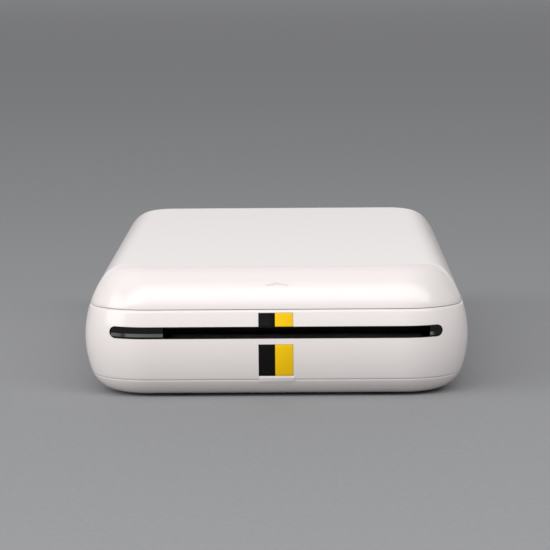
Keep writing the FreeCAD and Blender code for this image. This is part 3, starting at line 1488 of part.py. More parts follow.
def make_board():
    """The main board on its standoffs, with chips, radio module and screws."""
    body = new_body("main_board")
    x = (-BOARD_HALF, BOARD_HALF)
    y = (from_front(S.board_front), from_front(BOARD_BACK))
    pad(body, "sheet", "XY_Plane", S.board_height, BOARD_TOP, [rounded(x, y, S.board_corner)])
    hole = S.board_screw_radius + S.screw_hole_room
    pocket(body, "holes", "XY_Plane", S.board_height, BOARD_TOP, [
        many_sided(u, v, hole) for u, v in BOARD_SCREW_PLACES
    ])

    screws = []
    for u, v in BOARD_SCREW_PLACES:
        head_size = (S.board_screw_head_radius, S.board_screw_head_height)
        head = many_sided_rod("head", ALONG_Z, u, v, BOARD_TOP, *head_size)
        bottom = S.board_height - S.board_screw_length
        shank = many_sided_rod("shank", ALONG_Z, u, v, bottom, S.board_screw_radius, BOARD_TOP - bottom)
        screws.append(fuse("board_screw", [head, shank]))
    keep(group("screws", screws), "board_screws")

    chip_z = (BOARD_TOP, BOARD_TOP + S.chip_thickness)
    row_y = from_front(S.board_front + S.chip_row_inset)
    memory_x = -S.processor_size / 2 - S.chip_gap - S.memory_size / 2
    power_x = S.processor_size / 2 + S.chip_gap + S.power_chip_size / 2
    chips = []
    for name, chip_x, chip_size in (
        ("processor", 0, S.processor_size),
        ("memory", memory_x, S.memory_size),
        ("power_chip", power_x, S.power_chip_size),
    ):
        chips.append(block(name, about(chip_x, chip_size), about(row_y, chip_size), chip_z))
    keep(group("chips", chips), "board_chips")

    radio_x = about(BOARD_HALF - S.radio_side_inset, S.radio_width)
    radio_front = from_front(BOARD_BACK - S.radio_back_inset)
    radio_z = (BOARD_TOP, BOARD_TOP + S.radio_thickness)
    keep(block("radio", radio_x, (radio_front, radio_front + S.radio_length), radio_z), "radio_module")


def make_port():
    """The charging socket at the back edge of the board: a shell with a tongue."""
    body = new_body("charging_port")
    z = BOARD_TOP + S.port_height / 2
    mouth = HALF_LENGTH - S.port_front_inset
    heel = mouth - S.port_depth
    wall = S.port_wall * 2
    pad(body, "shell", "XZ_Plane", heel, mouth, [stadium((S.port_x, z), S.port_width, S.port_height)])
    pocket(body, "mouth", "XZ_Plane", heel + S.port_wall, mouth, [
        stadium((S.port_x, z), S.port_width - wall, S.port_height - wall),
    ])
    tongue = rectangle(about(S.port_x, S.port_tongue_width), about(z, S.port_tongue_thickness))
    pad(body, "tongue", "XZ_Plane", heel + S.port_wall / 2, mouth - S.port_wall * 2, [tongue])


def make_lamp():
    """A small lamp on the board and the light pipe that shows it in the rear wall."""
    pipe_back = HALF_LENGTH - S.pipe_inset
    pipe_front = pipe_back - S.pipe_length
    lamp_top = BOARD_TOP + S.lamp_thickness
    foot_y = (pipe_front, pipe_front + S.pipe_radius * 2)
    bar = rod("bar", ALONG_Y, S.lamp_x, pipe_front, S.pipe_height, S.pipe_radius, S.pipe_length)
    foot = block("foot", about(S.lamp_x, S.pipe_radius * 2), foot_y, (lamp_top + S.lamp_gap, S.pipe_height))
    keep(fuse("pipe", [bar, foot]), "light_pipe")
    lamp_y = about(pipe_front + S.pipe_radius, S.lamp_size)
    keep(block("lamp", about(S.lamp_x, S.lamp_size), lamp_y, (BOARD_TOP, lamp_top)), "charge_lamp")


def make_battery():
    """The flat battery stuck under the bay floor."""
    body = new_body("battery")
    y = (from_front(S.battery_front), HALF_LENGTH - S.battery_back_inset)
    z = (FLOOR_BOTTOM - S.battery_thickness, FLOOR_BOTTOM)
    x = (BAY_LEFT + S.battery_side_room, BAY_RIGHT - S.battery_side_room)
    pad(body, "pouch", "XZ_Plane", y[0], y[1], [rounded(x, z, S.battery_round)])


def make_paper_sensor():
    """A sensor that looks at the paper through a small window in the bay floor."""
    x = about(SENSOR_X, S.sensor_width)
    y = about(from_front(S.sensor_place), S.sensor_length)
    keep(block("sensor", x, y, (FLOOR_BOTTOM - S.sensor_height, FLOOR_BOTTOM)), "paper_sensor")


# Feet and case screws

def make_feet():
    """Four rubber feet let into the bottom."""
    feet = []
    for x, y in FOOT_PLACES:
        feet.append(many_sided_rod("foot", ALONG_Z, x, y, 0, S.foot_radius, S.foot_height))
    keep(group("feet", feet), "rubber_feet")


def make_case_screws():
    """Four screws that hold bottom, frame and band together."""
    screws = []
    for x, y in CASE_SCREW_PLACES:
        head_bottom = S.screw_seat_height - S.case_screw_head_height
        head_size = (S.case_screw_head_radius, S.case_screw_head_height)
        head = many_sided_rod("head", ALONG_Z, x, y, head_bottom, *head_size)
        shank_length = S.case_screw_length - S.case_screw_head_height
        shank_size = (S.case_screw_radius, shank_length)
        shank = many_sided_rod("shank", ALONG_Z, x, y, S.screw_seat_height, *shank_size)
        screws.append(fuse("case_screw", [head, shank]))
    keep(group("screws", screws), "case_screws")


# Build, check and write

def check_and_write():
    """Refuse a failed object, then write one file for each piece."""
    doc.recompute()
    for item in doc.Objects:
        if "Invalid" in item.State or "Error" in item.State:
            raise RuntimeError(f"{item.Name} failed: {item.State}")
    os.makedirs("parts", exist_ok=True)
    for label, item in pieces.items():
        shape = item.Shape
        if shape.isNull() or not shape.isValid() or not shape.Solids:
            raise RuntimeError(f"{label} is not a sound solid")
        shape.exportStep(f"parts/{label}.step")
        print(label, len(shape.Solids), round(shape.Volume, 2))


make_top_cover()
make_side_band()
make_bottom_shell()
make_stripes()
make_slot_liner()
make_chassis()
make_rollers()
make_gears()
make_gear_pins()
make_motor()
make_head()
make_head_bridge()
make_pressure_plate()
make_power_button()
make_board()
make_port()
make_lamp()
make_battery()
make_paper_sensor()
make_feet()
make_case_screws()
check_and_write()
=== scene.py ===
# %% [markdown]
# Compact photo printer
#
# A pocket printer for 2 by 3 inch prints lies on a pale table. Its white case has barrel-shaped
# sides and three shells: a lid, a middle band and a tray. The frame, gears and rollers inside
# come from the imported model. The shells, the stripe, the slot's mouth, the button, the springs,
# the screws and the feet are modelled here, because glossy plastic shows every facet, and a
# spring needs its turns.

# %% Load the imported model
import json
import math

import bpy
from mathutils import Matrix, Vector


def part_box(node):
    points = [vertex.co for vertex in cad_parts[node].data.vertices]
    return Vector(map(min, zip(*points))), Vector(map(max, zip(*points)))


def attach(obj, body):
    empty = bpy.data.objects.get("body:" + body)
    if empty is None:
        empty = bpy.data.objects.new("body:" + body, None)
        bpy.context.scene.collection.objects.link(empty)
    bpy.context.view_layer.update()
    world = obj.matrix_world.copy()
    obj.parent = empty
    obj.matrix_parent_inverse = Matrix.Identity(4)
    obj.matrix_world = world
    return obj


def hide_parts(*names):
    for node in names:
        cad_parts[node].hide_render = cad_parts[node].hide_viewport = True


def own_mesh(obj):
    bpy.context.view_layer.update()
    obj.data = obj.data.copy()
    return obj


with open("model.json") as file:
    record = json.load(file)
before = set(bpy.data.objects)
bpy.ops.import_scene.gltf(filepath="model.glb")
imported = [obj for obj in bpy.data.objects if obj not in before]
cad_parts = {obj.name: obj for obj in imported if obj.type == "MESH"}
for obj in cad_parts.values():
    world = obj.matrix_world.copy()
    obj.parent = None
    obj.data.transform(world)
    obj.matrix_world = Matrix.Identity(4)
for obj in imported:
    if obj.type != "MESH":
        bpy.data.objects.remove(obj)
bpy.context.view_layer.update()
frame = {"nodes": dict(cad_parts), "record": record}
nodes = frame["nodes"]

# %% [markdown]
# Units
#
# Blender works in metres here. The sizes of the case are easier to read in millimetres, so each
# is written as a number of millimetres times MM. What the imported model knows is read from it, so
# that a new piece can't drift away from the piece that it stands for.

# %% Sizes of the case
MM = 0.001
low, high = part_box("side_band")
HALF_WIDTH = high.x
HALF_LENGTH = high.y
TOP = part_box("top_cover")[1].z
BAND_TOP = high.z
COVER_BOTTOM = BAND_TOP + 0.09 * MM
TRAY_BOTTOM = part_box("bottom_shell")[0].z
SEAM = low.z
WIDE_HEIGHT = 11.2 * MM
BARREL_RADIUS = 20.4 * MM
EDGE_RADIUS = 6.2 * MM
PLAN_RADIUS = 13.2 * MM
WALL = 1.6 * MM
print("half width", round(HALF_WIDTH, 4), "half length", round(HALF_LENGTH, 4), "top", round(TOP, 4))

# %% [markdown]
# Camera
#
# The photograph was taken from in front and a little above with a long lens. The place, the turn
# and the focal length come from fitting the case's outline, the seams and the slot. The camera's
# three directions are worked out from its pitch, yaw and roll, which are in radians, and put into
# one matrix.

# %% Camera
IMAGE_WIDTH = 550
FOCAL_PIXELS = 2697
SENSOR_WIDTH = 36.0
CAMERA_SIDE = 5.75 * MM
CAMERA_DISTANCE = 519 * MM
CAMERA_HEIGHT = 91.1 * MM
PITCH = 0.1275
YAW = -0.0112
ROLL = -0.0074

forward = Vector((math.sin(YAW) * math.cos(PITCH), math.cos(YAW) * math.cos(PITCH), -math.sin(PITCH)))
level = Vector((math.cos(YAW), -math.sin(YAW), 0))
upright = level.cross(forward)
right = level * math.cos(ROLL) + upright * math.sin(ROLL)
up = upright * math.cos(ROLL) - level * math.sin(ROLL)

bpy.ops.object.camera_add()
camera = bpy.context.object
camera.name = "photo_camera"
camera.data.sensor_width = SENSOR_WIDTH
camera.data.lens = FOCAL_PIXELS / IMAGE_WIDTH * SENSOR_WIDTH
camera.data.clip_start = 10 * MM
place = Vector((CAMERA_SIDE, -HALF_LENGTH - CAMERA_DISTANCE, CAMERA_HEIGHT))
turn = Matrix((right, up, -forward)).transposed().to_4x4()
camera.matrix_world = Matrix.Translation(place) @ turn
bpy.context.scene.camera = camera
print("lens", round(camera.data.lens, 1), "mm")

# %% [markdown]
# Helpers for materials
#
# A material is a tree of shader nodes. These helpers add a node with its inputs set, join two
# nodes by the names of their sockets, and set the two colours of a ramp.


# %% Shader nodes
def new_paint(name):
    """An empty material: the material, its tree and its shader."""
    paint = bpy.data.materials.new(name)
    paint.use_nodes = True
    return paint, paint.node_tree, paint.node_tree.nodes["Principled BSDF"]


def add(tree, kind, **settings):
    """Add a shader node and set its inputs, whose names have _ for a space here."""
    node = tree.nodes.new("ShaderNode" + kind)
    for socket, value in settings.items():
        node.inputs[socket.replace("_", " ")].default_value = value
    return node


def link(tree, start, output, end, socket):
    """Join two sockets by name."""
    tree.links.new(start.outputs[output], end.inputs[socket])


def set_ramp(node, first, last, start=0.0, end=1.0):
    """Set the two colours of a ramp and where they stand."""
    stops = node.color_ramp.elements
    stops[0].color, stops[1].color = (*first, 1), (*last, 1)
    stops[0].position, stops[1].position = start, end


# %% [markdown]
# Table
#
# The table is one wide plane, so no horizon shows. A fine grain in two close greys keeps it from
# looking like paper, and it stays matt, so the printer's shadow is what the eye finds there.

# %% Table
FLOOR_SIZE = 14.0
FLOOR_DARK = (0.285, 0.288, 0.30)
FLOOR_LIGHT = (0.335, 0.338, 0.35)
bpy.ops.mesh.primitive_plane_add(size=FLOOR_SIZE, location=(0, 0, 0))
floor = bpy.context.object
floor.name = "table"

table_paint, tree, shader = new_paint("table_paint")
shader.inputs["Roughness"].default_value = 0.85
grain = add(tree, "TexNoise", Scale=900.0)
tone = add(tree, "ValToRGB")
set_ramp(tone, FLOOR_DARK, FLOOR_LIGHT)
link(tree, add(tree, "TexCoord"), "Object", grain, "Vector")
link(tree, grain, "Fac", tone, "Fac")
link(tree, tone, "Color", shader, "Base Color")
floor.data.materials.append(table_paint)

# %% [markdown]
# Light
#
# In the photograph the lid's rounded front edge mirrors a bright panel, the flat top mirrors a
# pale wall behind, and the sides darken towards the table. So a wide, low panel stands in front
# and above, two pale ones stand for the wall far behind, and dimmer ones in front and on the
# left fill the shadows. The world adds an even level, so that white plastic renders about as
# white as it is.


# %% Lamps
CASE_MIDDLE = (0, 0, 0.012)
FRONT_EDGE = (0, -0.06, 0.02)
WORLD_LEVEL = 0.355


def soft_lamp(name, place, aim, size, power):
    """A rectangular lamp that shines from a place towards a point."""
    bpy.ops.object.light_add(type="AREA", location=place)
    lamp = bpy.context.object
    lamp.name = name
    lamp.data.shape = "RECTANGLE"
    lamp.data.size, lamp.data.size_y = size
    lamp.data.energy = power
    lamp.rotation_euler = (Vector(aim) - Vector(place)).to_track_quat("-Z", "Y").to_euler()


soft_lamp("front_panel", (0.06, -0.595, 0.615), FRONT_EDGE, (1.60, 0.26), 5.6)
soft_lamp("front_fill", (-0.30, -1.30, 0.35), CASE_MIDDLE, (1.20, 0.50), 0.8)
soft_lamp("left_fill", (-0.90, -0.40, 0.35), CASE_MIDDLE, (0.70, 0.50), 3.6)
soft_lamp("back_panel", (0.0, 4.00, 2.05), CASE_MIDDLE, (4.50, 3.50), 11.9)
soft_lamp("back_foot", (0.0, 4.00, 0.80), CASE_MIDDLE, (5.50, 1.25), 7.5)
world = bpy.data.worlds.new("room")
bpy.context.scene.world = world
world.use_nodes = True
background = world.node_tree.nodes["Background"]
background.inputs["Color"].default_value = (1, 1, 1, 1)
background.inputs["Strength"].default_value = WORLD_LEVEL
bpy.context.scene.view_settings.view_transform = "Standard"

# %% [markdown]
# Helpers for modelling
#
# An operator acts on whatever is selected, so each piece starts from a clear selection. These
# helpers open and close edit mode, pick edges and points by their place, and apply a modifier.


# %% Selecting
def clear():
    """Deselect everything."""
    bpy.ops.object.select_all(action="DESELECT")


def pick(piece):
    """Select one piece and make it the active one."""
    clear()
    piece.select_set(True)
    bpy.context.view_layer.objects.active = piece


def edit_all():
    """Open edit mode on the active piece, with all of it selected."""
    bpy.ops.object.mode_set(mode="EDIT")
    bpy.ops.mesh.select_all(action="SELECT")


def close_edit():
    """Go back to object mode."""
    bpy.ops.object.mode_set(mode="OBJECT")


def choose(piece, kind, test):
    """In edit mode, select only the edges or points that pass a test, and count them."""
    bpy.ops.mesh.select_mode(type=kind)
    bpy.ops.mesh.select_all(action="DESELECT")
    close_edit()
    parts = piece.data.edges if kind == "EDGE" else piece.data.vertices
    chosen = [part for part in parts if test(part)]
    for part in chosen:
        part.select = True
    bpy.ops.object.mode_set(mode="EDIT")
    return len(chosen)


def choose_open():
    """In edit mode, select only the open edges."""
    bpy.ops.mesh.select_mode(type="EDGE")
    bpy.ops.mesh.select_all(action="DESELECT")
    bpy.ops.mesh.select_non_manifold()


def face_outwards():
    """In edit mode, turn all faces outwards."""
    bpy.ops.mesh.select_all(action="SELECT")
    bpy.ops.mesh.normals_make_consistent(inside=False)


# %% Modifiers and joining
EDGE_STEPS = 2
RIM_STEPS = 3
SHARP_ANGLE = math.radians(50)


def apply_modifier(piece, kind, **settings):
    """Add a modifier, set it up and apply it."""
    pick(piece)
    modifier = piece.modifiers.new(kind, kind)
    for key, value in settings.items():
        setattr(modifier, key, value)
    bpy.ops.object.modifier_apply(modifier=kind)


def combine(piece, other, operation):
    """Boolean of two pieces, which uses up the second one."""
    apply_modifier(piece, "BOOLEAN", operation=operation, object=other, solver="EXACT")
    bpy.data.objects.remove(other)
    return piece


def cut_away(piece, cutter):
    """Take the cutter's shape out of a piece."""
    return combine(piece, cutter, "DIFFERENCE")


def round_edges(piece, width, segments=EDGE_STEPS):
    """Round every sharp edge of a piece."""
    apply_modifier(
        piece, "BEVEL", width=width, segments=segments, limit_method="ANGLE",
        angle_limit=SHARP_ANGLE,
    )
    return piece


def join(name, pieces):
    """Make one object of several."""
    clear()
    for piece in pieces:
        piece.select_set(True)
    bpy.context.view_layer.objects.active = pieces[0]
    bpy.ops.object.join()
    joined = bpy.context.object
    joined.name = name
    joined.data.name = name
    return joined


# %% Welding and shading
WELD_REACH = 0.003 * MM


def weld(piece, reach=WELD_REACH):
    """Merge doubled points, turn all faces outwards, and count the edges that stay open."""
    pick(piece)
    edit_all()
    bpy.ops.mesh.remove_doubles(threshold=reach)
    face_outwards()
    choose_open()
    close_edit()
    return sum(edge.select for edge in piece.data.edges)


def smooth(piece, degrees=32):
    """Smooth shading that keeps edges sharper than an angle."""
    pick(piece)
    bpy.ops.object.shade_smooth_by_angle(angle=math.radians(degrees))
    return piece


def middle_of(node):
    """The middle of a node's box."""
    low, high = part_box(node)
    return (low + high) / 2


def fits(node, *pieces):
    """Print how far the pieces' box is from the box of the node that they stand for."""
    corners = [vertex.co for piece in pieces for vertex in piece.data.vertices]
    faces = sum(len(piece.data.polygons) for piece in pieces)
    low = Vector([min(corner[axis] for corner in corners) for axis in range(3)])
    high = Vector([max(corner[axis] for corner in corners) for axis in range(3)])
    node_low, node_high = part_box(node)
    gap = max(abs(value) for value in (*(low - node_low), *(high - node_high)))
    print(node, faces, "faces, box off by", round(gap / MM, 2), "mm")


# %% Boxes and cylinders to start from
DISC_SIDES = 48
SHANK_SIDES = 24
ROD_SIDES = 32


def settle(name, scale=(1, 1, 1)):
    """Name the newest piece, stretch it, and apply its place, turn and size."""
    piece = bpy.context.object
    piece.name = name
    piece.scale = scale
    bpy.ops.object.transform_apply(location=True, rotation=True, scale=True)
    return piece


def box_between(name, corner, opposite, round_by=0.0):
    """A cube primitive stretched between two corners, with its edges rounded."""
    clear()
    corner, opposite = Vector(corner), Vector(opposite)
    bpy.ops.mesh.primitive_cube_add(size=1, location=(corner + opposite) / 2)
    piece = settle(name, [abs(size) for size in opposite - corner])
    if round_by:
        edit_all()
        bpy.ops.mesh.bevel(offset=round_by, segments=EDGE_STEPS, affect="EDGES")
        close_edit()
    return piece


def disc(name, middle, radius, bottom, top, round_by=0.0, sides=DISC_SIDES):
    """An upright cylinder primitive between two heights, with its rims rounded."""
    clear()
    bpy.ops.mesh.primitive_cylinder_add(
        vertices=sides, radius=radius, depth=top - bottom, location=(*middle, (bottom + top) / 2),
    )
    piece = settle(name)
    if round_by:
        round_edges(piece, round_by, RIM_STEPS)
    return piece


def rod(name, middle, radius, length, along):
    """A lying cylinder that points along X or Y."""
    clear()
    turn = (math.pi / 2, 0, 0) if along == "Y" else (0, math.pi / 2, 0)
    bpy.ops.mesh.primitive_cylinder_add(
        vertices=ROD_SIDES, radius=radius, depth=length, rotation=turn, location=middle,
    )
    return settle(name)


def turn_over(piece, angle, axis, pivot=(0, 0, 0)):
    """Turn a piece about a pivot."""
    pick(piece)
    edit_all()
    bpy.ops.transform.rotate(value=angle, orient_axis=axis, center_override=pivot)
    close_edit()
    return piece


def copies(name, piece, places):
    """Copies of a piece that was modelled at the origin, one at each place, as one object."""
    made = []
    for place in places:
        pick(piece)
        bpy.ops.object.duplicate(linked=False)
        bpy.context.object.location = place
        made.append(settle("copy"))
    bpy.data.objects.remove(piece)
    return join(name, made)


# %% [markdown]
# The outline of the case
#
# Seen from the side, the wall is a barrel arc that runs into a tighter arc above and below. A
# point of this profile is known by the angle that its surface faces: 0 degrees at the widest
# line, 90 at the flat top and -90 at the flat bottom. Seen from above, every level is the same
# rounded rectangle, moved inwards by the profile's inset.

# %% Profile of the wall
REACH = BARREL_RADIUS - EDGE_RADIUS
TOP_RISE = TOP - EDGE_RADIUS - WIDE_HEIGHT
BOTTOM_DROP = WIDE_HEIGHT - TRAY_BOTTOM - EDGE_RADIUS
TOP_JOINT = math.asin(TOP_RISE / REACH)
BOTTOM_JOINT = -math.asin(BOTTOM_DROP / REACH)
CORNER_STEPS = 22
HALVINGS = 60


def arc_of(angle):
    """Centre (inset and height) and radius of the arc that the profile follows at an angle."""
    if BOTTOM_JOINT <= angle <= TOP_JOINT:
        return (BARREL_RADIUS, WIDE_HEIGHT), BARREL_RADIUS
    if angle > TOP_JOINT:
        return (BARREL_RADIUS - REACH * math.cos(TOP_JOINT), WIDE_HEIGHT + TOP_RISE), EDGE_RADIUS
    return (BARREL_RADIUS - REACH * math.cos(BOTTOM_JOINT), WIDE_HEIGHT - BOTTOM_DROP), EDGE_RADIUS


def wall_point(angle, depth=0.0):
    """Inset and height of the wall's surface, or of the surface that lies depth under it."""
    centre, radius = arc_of(angle)
    radius -= depth
    return centre[0] - radius * math.cos(angle), centre[1] + radius * math.sin(angle)


def angle_at(height, depth=0.0):
    """The angle at which the wall passes a height, found by halving."""
    below, above = -math.pi / 2, math.pi / 2
    for _ in range(HALVINGS):
        middle = (below + above) / 2
        if wall_point(middle, depth)[1] < height:
            below = middle
        else:
            above = middle
    return (below + above) / 2


def wall_run(first, last, depth, steps, extra=()):
    """Points of the profile between two heights, evenly spaced by angle."""
    start, end = angle_at(first, depth), angle_at(last, depth)
    angles = [start + (end - start) * step / steps for step in range(steps + 1)]
    angles += [angle_at(height, depth) for height in extra]
    angles.sort(reverse=start > end)
    return [wall_point(angle, depth) for angle in angles]


def inset_of(place):
    """How far inside the case's widest outline a place is."""
    across = abs(place.x) - HALF_WIDTH + PLAN_RADIUS
    along = abs(place.y) - HALF_LENGTH + PLAN_RADIUS
    if across > 0 and along > 0:
        return PLAN_RADIUS - math.hypot(across, along)
    return PLAN_RADIUS - max(across, along)


print("joints at", round(math.degrees(TOP_JOINT), 1), round(math.degrees(BOTTOM_JOINT), 1), "degrees")


# %% [markdown]
# Sheets that follow the outline
#
# One flat face with rounded corners is inset again and again, each time by the profile's next
# step. Inset moves every edge inwards by the same amount, so the corners keep their centres,
# and the rows of faces come out as clean quads, which glossy plastic needs. Where a sheet ends in
# a flat face, one more ring just inside its edge keeps the shading of the flat part flat.

# %% Follow the outline
FLAT_RING = 0.5 * MM
LEVEL_REACH = 0.01 * MM
LOOP_REACH = 0.06 * MM
NO_INSET = 1e-5 * MM


def follow(name, points, keep_end):
    """A sheet that starts as the case's outline at the first point and passes through the rest."""
    clear()
    inset, height = points[0]
    bpy.ops.mesh.primitive_plane_add(size=1, location=(0, 0, height))
    piece = settle(name, ((HALF_WIDTH - inset) * 2, (HALF_LENGTH - inset) * 2, 1))
    edit_all()
    bpy.ops.mesh.bevel(offset=PLAN_RADIUS - inset, segments=CORNER_STEPS, affect="VERTICES")
    bpy.ops.mesh.select_all(action="SELECT")
    for (inset, height), (next_inset, next_height) in zip(points, points[1:]):
        inward, upward = next_inset - inset, next_height - height
        if abs(inward) < NO_INSET:
            bpy.ops.mesh.extrude_region_move(TRANSFORM_OT_translate={"value": (0, 0, upward)})
        else:
            bpy.ops.mesh.inset(thickness=inward, depth=upward, use_even_offset=True)
    if keep_end:
        bpy.ops.mesh.inset(thickness=FLAT_RING, use_even_offset=True)
    else:
        bpy.ops.mesh.delete(type="FACE")
    close_edit()
    return piece


def round_loops(piece, height, insets, width, segments):
    """Round the edge loops that run round the case at a height, at any of some insets."""
    pick(piece)
    bpy.ops.object.mode_set(mode="EDIT")
    points = piece.data.vertices

    def on_loop(edge):
        ends = [points[end].co for end in edge.vertices]
        if any(abs(end.z - height) > LEVEL_REACH for end in ends):
            return False
        first, second = (inset_of(end) for end in ends)
        along = abs(first - second) < LOOP_REACH
        return along and any(abs(first - inset) < LOOP_REACH for inset in insets)

    count = choose(piece, "EDGE", on_loop)
    bpy.ops.mesh.bevel(offset=width, segments=segments, affect="EDGES")
    close_edit()
    return count


def solid_outline(name, points):
    """A closed block that follows the outline, for use in Boolean."""
    piece = follow(name, points, True)
    edit_all()
    choose_open()
    bpy.ops.mesh.edge_face_add()
    face_outwards()
    close_edit()
    return piece


# %% [markdown]
# The lid
#
# The real lid is one moulding, 1.6 mm thick. Its outside is one sheet from the seam to the flat
# top, and its inside a second one under it. Both start from the same line at the seam, so
# welding them there closes the lid. Both edges at the seam are rounded a little, as mould edges
# are. One sheet with Solidify would be quicker, but its wall would thin out at the arcs' joints.

# %% Lid
LID_EDGE = 0.16 * MM
outside = wall_run(COVER_BOTTOM, TOP, depth=0.0, steps=22)
inside = wall_run(COVER_BOTTOM, TOP - WALL, depth=WALL, steps=14)
lid = join("lid", [
    follow("lid_outside", outside, True),
    follow("lid_inside", [outside[0]] + inside, True),
])
open_edges = weld(lid)
rounded = round_loops(lid, COVER_BOTTOM, (outside[0][0], inside[0][0]), LID_EDGE, EDGE_STEPS)
print("lid: open edges", open_edges, "edges rounded", rounded, "faces", len(lid.data.polygons))

# %% [markdown]
# The push mark
#
# A small, flat arrowhead on the front slope of the lid shows where to push. On the real lid it is
# a shallow groove. Two thin bars that meet at a point are made flat, leaned against the slope and
# taken out of it, and a lower copy of the same arrowhead fills the groove with a darker grey,
# which is painted shade in the groove.

# %% Push mark
MARK_ANGLE = math.radians(33.4)
MARK_SIDE = 0.25 * MM
MARK_HALF_WIDTH = 2.05 * MM
MARK_RUN = 0.42 * MM
MARK_STROKE = 0.42 * MM
MARK_DEPTH = 0.10 * MM
SHADE_FILL_STROKE = 0.40 * MM
SHADE_FILL_DEPTH = 0.03 * MM
OVERLAP = 0.6


def arrowhead(name, stroke, bottom, top):
    """Two bars that lean against each other, laid on the lid's slope."""
    bars = []
    tip = Vector((0, 0, 0))
    for side in (-1, 1):
        foot = Vector((side * MARK_HALF_WIDTH, -MARK_RUN, 0))
        middle = (foot + tip) / 2
        half = Vector((stroke, (foot - tip).length + stroke * OVERLAP, 0)) / 2
        corner, opposite = middle - half, middle + half
        bar = box_between(name, (corner.x, corner.y, bottom), (opposite.x, opposite.y, top))
        lean = math.atan2(side * MARK_HALF_WIDTH, MARK_RUN)
        bars.append(turn_over(bar, -lean, "Z", middle))
    mark = turn_over(combine(*bars, "UNION"), MARK_ANGLE - math.pi / 2, "X")
    inset, height = wall_point(MARK_ANGLE)
    edit_all()
    bpy.ops.transform.translate(value=(MARK_SIDE, inset - HALF_LENGTH, height))
    close_edit()
    return mark


cut_away(lid, arrowhead("mark_cut", MARK_STROKE, -MARK_DEPTH, MARK_DEPTH))
# The fill's darker grey is painted shade in the groove.
push_mark = arrowhead("push_mark", SHADE_FILL_STROKE, -MARK_DEPTH, -SHADE_FILL_DEPTH)
smooth(lid)
print("push mark", len(push_mark.data.polygons), "faces")

# %% [markdown]
# Hooks and sockets under the lid
#
# Three hooks on each side hold the lid down. They slope with the way it slides off, so each toe
# clears its ledge. Two round sockets guide the posts of the pressure plate. A hook is a thin arm
# and a toe, both boxes whose back end is pushed up by the slope before their edges are rounded.

# %% Hooks
SLIDE = math.radians(25)
HOOK_SHARES = (0.157, 0.472, 0.748)
HOOK_LENGTH = 5.0 * MM
HOOK_THICKNESS = 1.0 * MM
HOOK_REACH = 0.7 * MM
HOOK_OUTSIDE = HALF_WIDTH - 3.6 * MM
TOE_TOP = 13.9 * MM
TOE_BOTTOM = 13.0 * MM
HOOK_TOP = 22.0 * MM
HOOK_RISE = HOOK_LENGTH * math.tan(SLIDE)
SMALL_EDGE = 0.12 * MM


def sloped_box(name, across, along, upright, both_slope):
    """A box whose bottom, and top if wanted, rise towards the back as the hooks do."""
    across = sorted(across)
    piece = box_between(name, (across[0], along[0], upright[0]), (across[1], along[1], upright[1]))
    bpy.ops.object.mode_set(mode="EDIT")
    back = sum(along) / 2
    middle = sum(upright) / 2
    choose(piece, "VERT", lambda point: point.co.y > back and (both_slope or point.co.z < middle))
    bpy.ops.transform.translate(value=(0, 0, HOOK_RISE))
    bpy.ops.mesh.select_all(action="SELECT")
    bpy.ops.mesh.bevel(offset=SMALL_EDGE, segments=EDGE_STEPS, affect="EDGES")
    close_edit()
    return piece


hooks = []
hook_fronts = [-HALF_LENGTH + HALF_LENGTH * 2 * share - HOOK_LENGTH / 2 for share in HOOK_SHARES]
for front in hook_fronts:
    along = (front, front + HOOK_LENGTH)
    for side in (-1, 1):
        arm = (side * (HOOK_OUTSIDE - HOOK_THICKNESS), side * HOOK_OUTSIDE)
        toe = (side * HOOK_OUTSIDE, side * (HOOK_OUTSIDE + HOOK_REACH))
        hooks.append(sloped_box("hook_arm", arm, along, (TOE_BOTTOM, HOOK_TOP), False))
        hooks.append(sloped_box("hook_toe", toe, along, (TOE_BOTTOM, TOE_TOP), True))

# %% Sockets
SOCKET_BOTTOM = 18.5 * MM
SOCKET_RADIUS = 2.55 * MM
SOCKET_BORE = 1.65 * MM
for node in ("front_plate_spring", "rear_plate_spring"):
    middle = middle_of(node).xy
    socket = disc("socket", middle, SOCKET_RADIUS, SOCKET_BOTTOM, TOP - WALL)
    cut_away(socket, disc("bore", middle, SOCKET_BORE, SOCKET_BOTTOM - MM, TOP - WALL / 2))
    hooks.append(round_edges(socket, SMALL_EDGE))
lid_hooks = smooth(join("lid_hooks", hooks))
fits("top_cover", lid, lid_hooks)

# %% [markdown]
# The middle band
#
# The band is widest in the middle, and inset can only go inwards. So it is four sheets: outside
# and inside, each from the widest line up and from the widest line down. They are welded at the
# widest line and at the two seams, where their rounded corners lie a few hundredths of a
# millimetre apart. The top edge gets a wide rounding that catches the light.

# %% Band
BAND_EDGE = 0.35 * MM
BAND_WELD = 0.05 * MM
FOOT_EDGE = 0.2 * MM
SLOT_MIDDLE = 13.225 * MM
SLOT_HALF = 1.175 * MM
SLOT_MARGIN = 0.25 * MM
slot_rows = (SLOT_MIDDLE - SLOT_HALF - SLOT_MARGIN, SLOT_MIDDLE + SLOT_HALF + SLOT_MARGIN)
outside_up = wall_run(WIDE_HEIGHT, BAND_TOP, depth=0.0, steps=9, extra=slot_rows)
outside_down = wall_run(WIDE_HEIGHT, SEAM, depth=0.0, steps=11)
inside_up = wall_run(WIDE_HEIGHT, BAND_TOP, depth=WALL, steps=7)
inside_down = wall_run(WIDE_HEIGHT, SEAM, depth=WALL, steps=8)
band = join("band", [
    follow("band_up", outside_up + [inside_up[-1]], False),
    follow("band_down", outside_down + [inside_down[-1]], False),
    follow("band_inside_up", inside_up, False),
    follow("band_inside_down", inside_down, False),
])
open_edges = weld(band, BAND_WELD)
rim_edges = round_loops(band, BAND_TOP, (outside_up[-1][0],), BAND_EDGE, RIM_STEPS)
foot_edges = round_loops(band, SEAM, (outside_down[-1][0],), FOOT_EDGE, EDGE_STEPS)
print("band: open edges", open_edges, "rim", rim_edges, "foot", foot_edges)


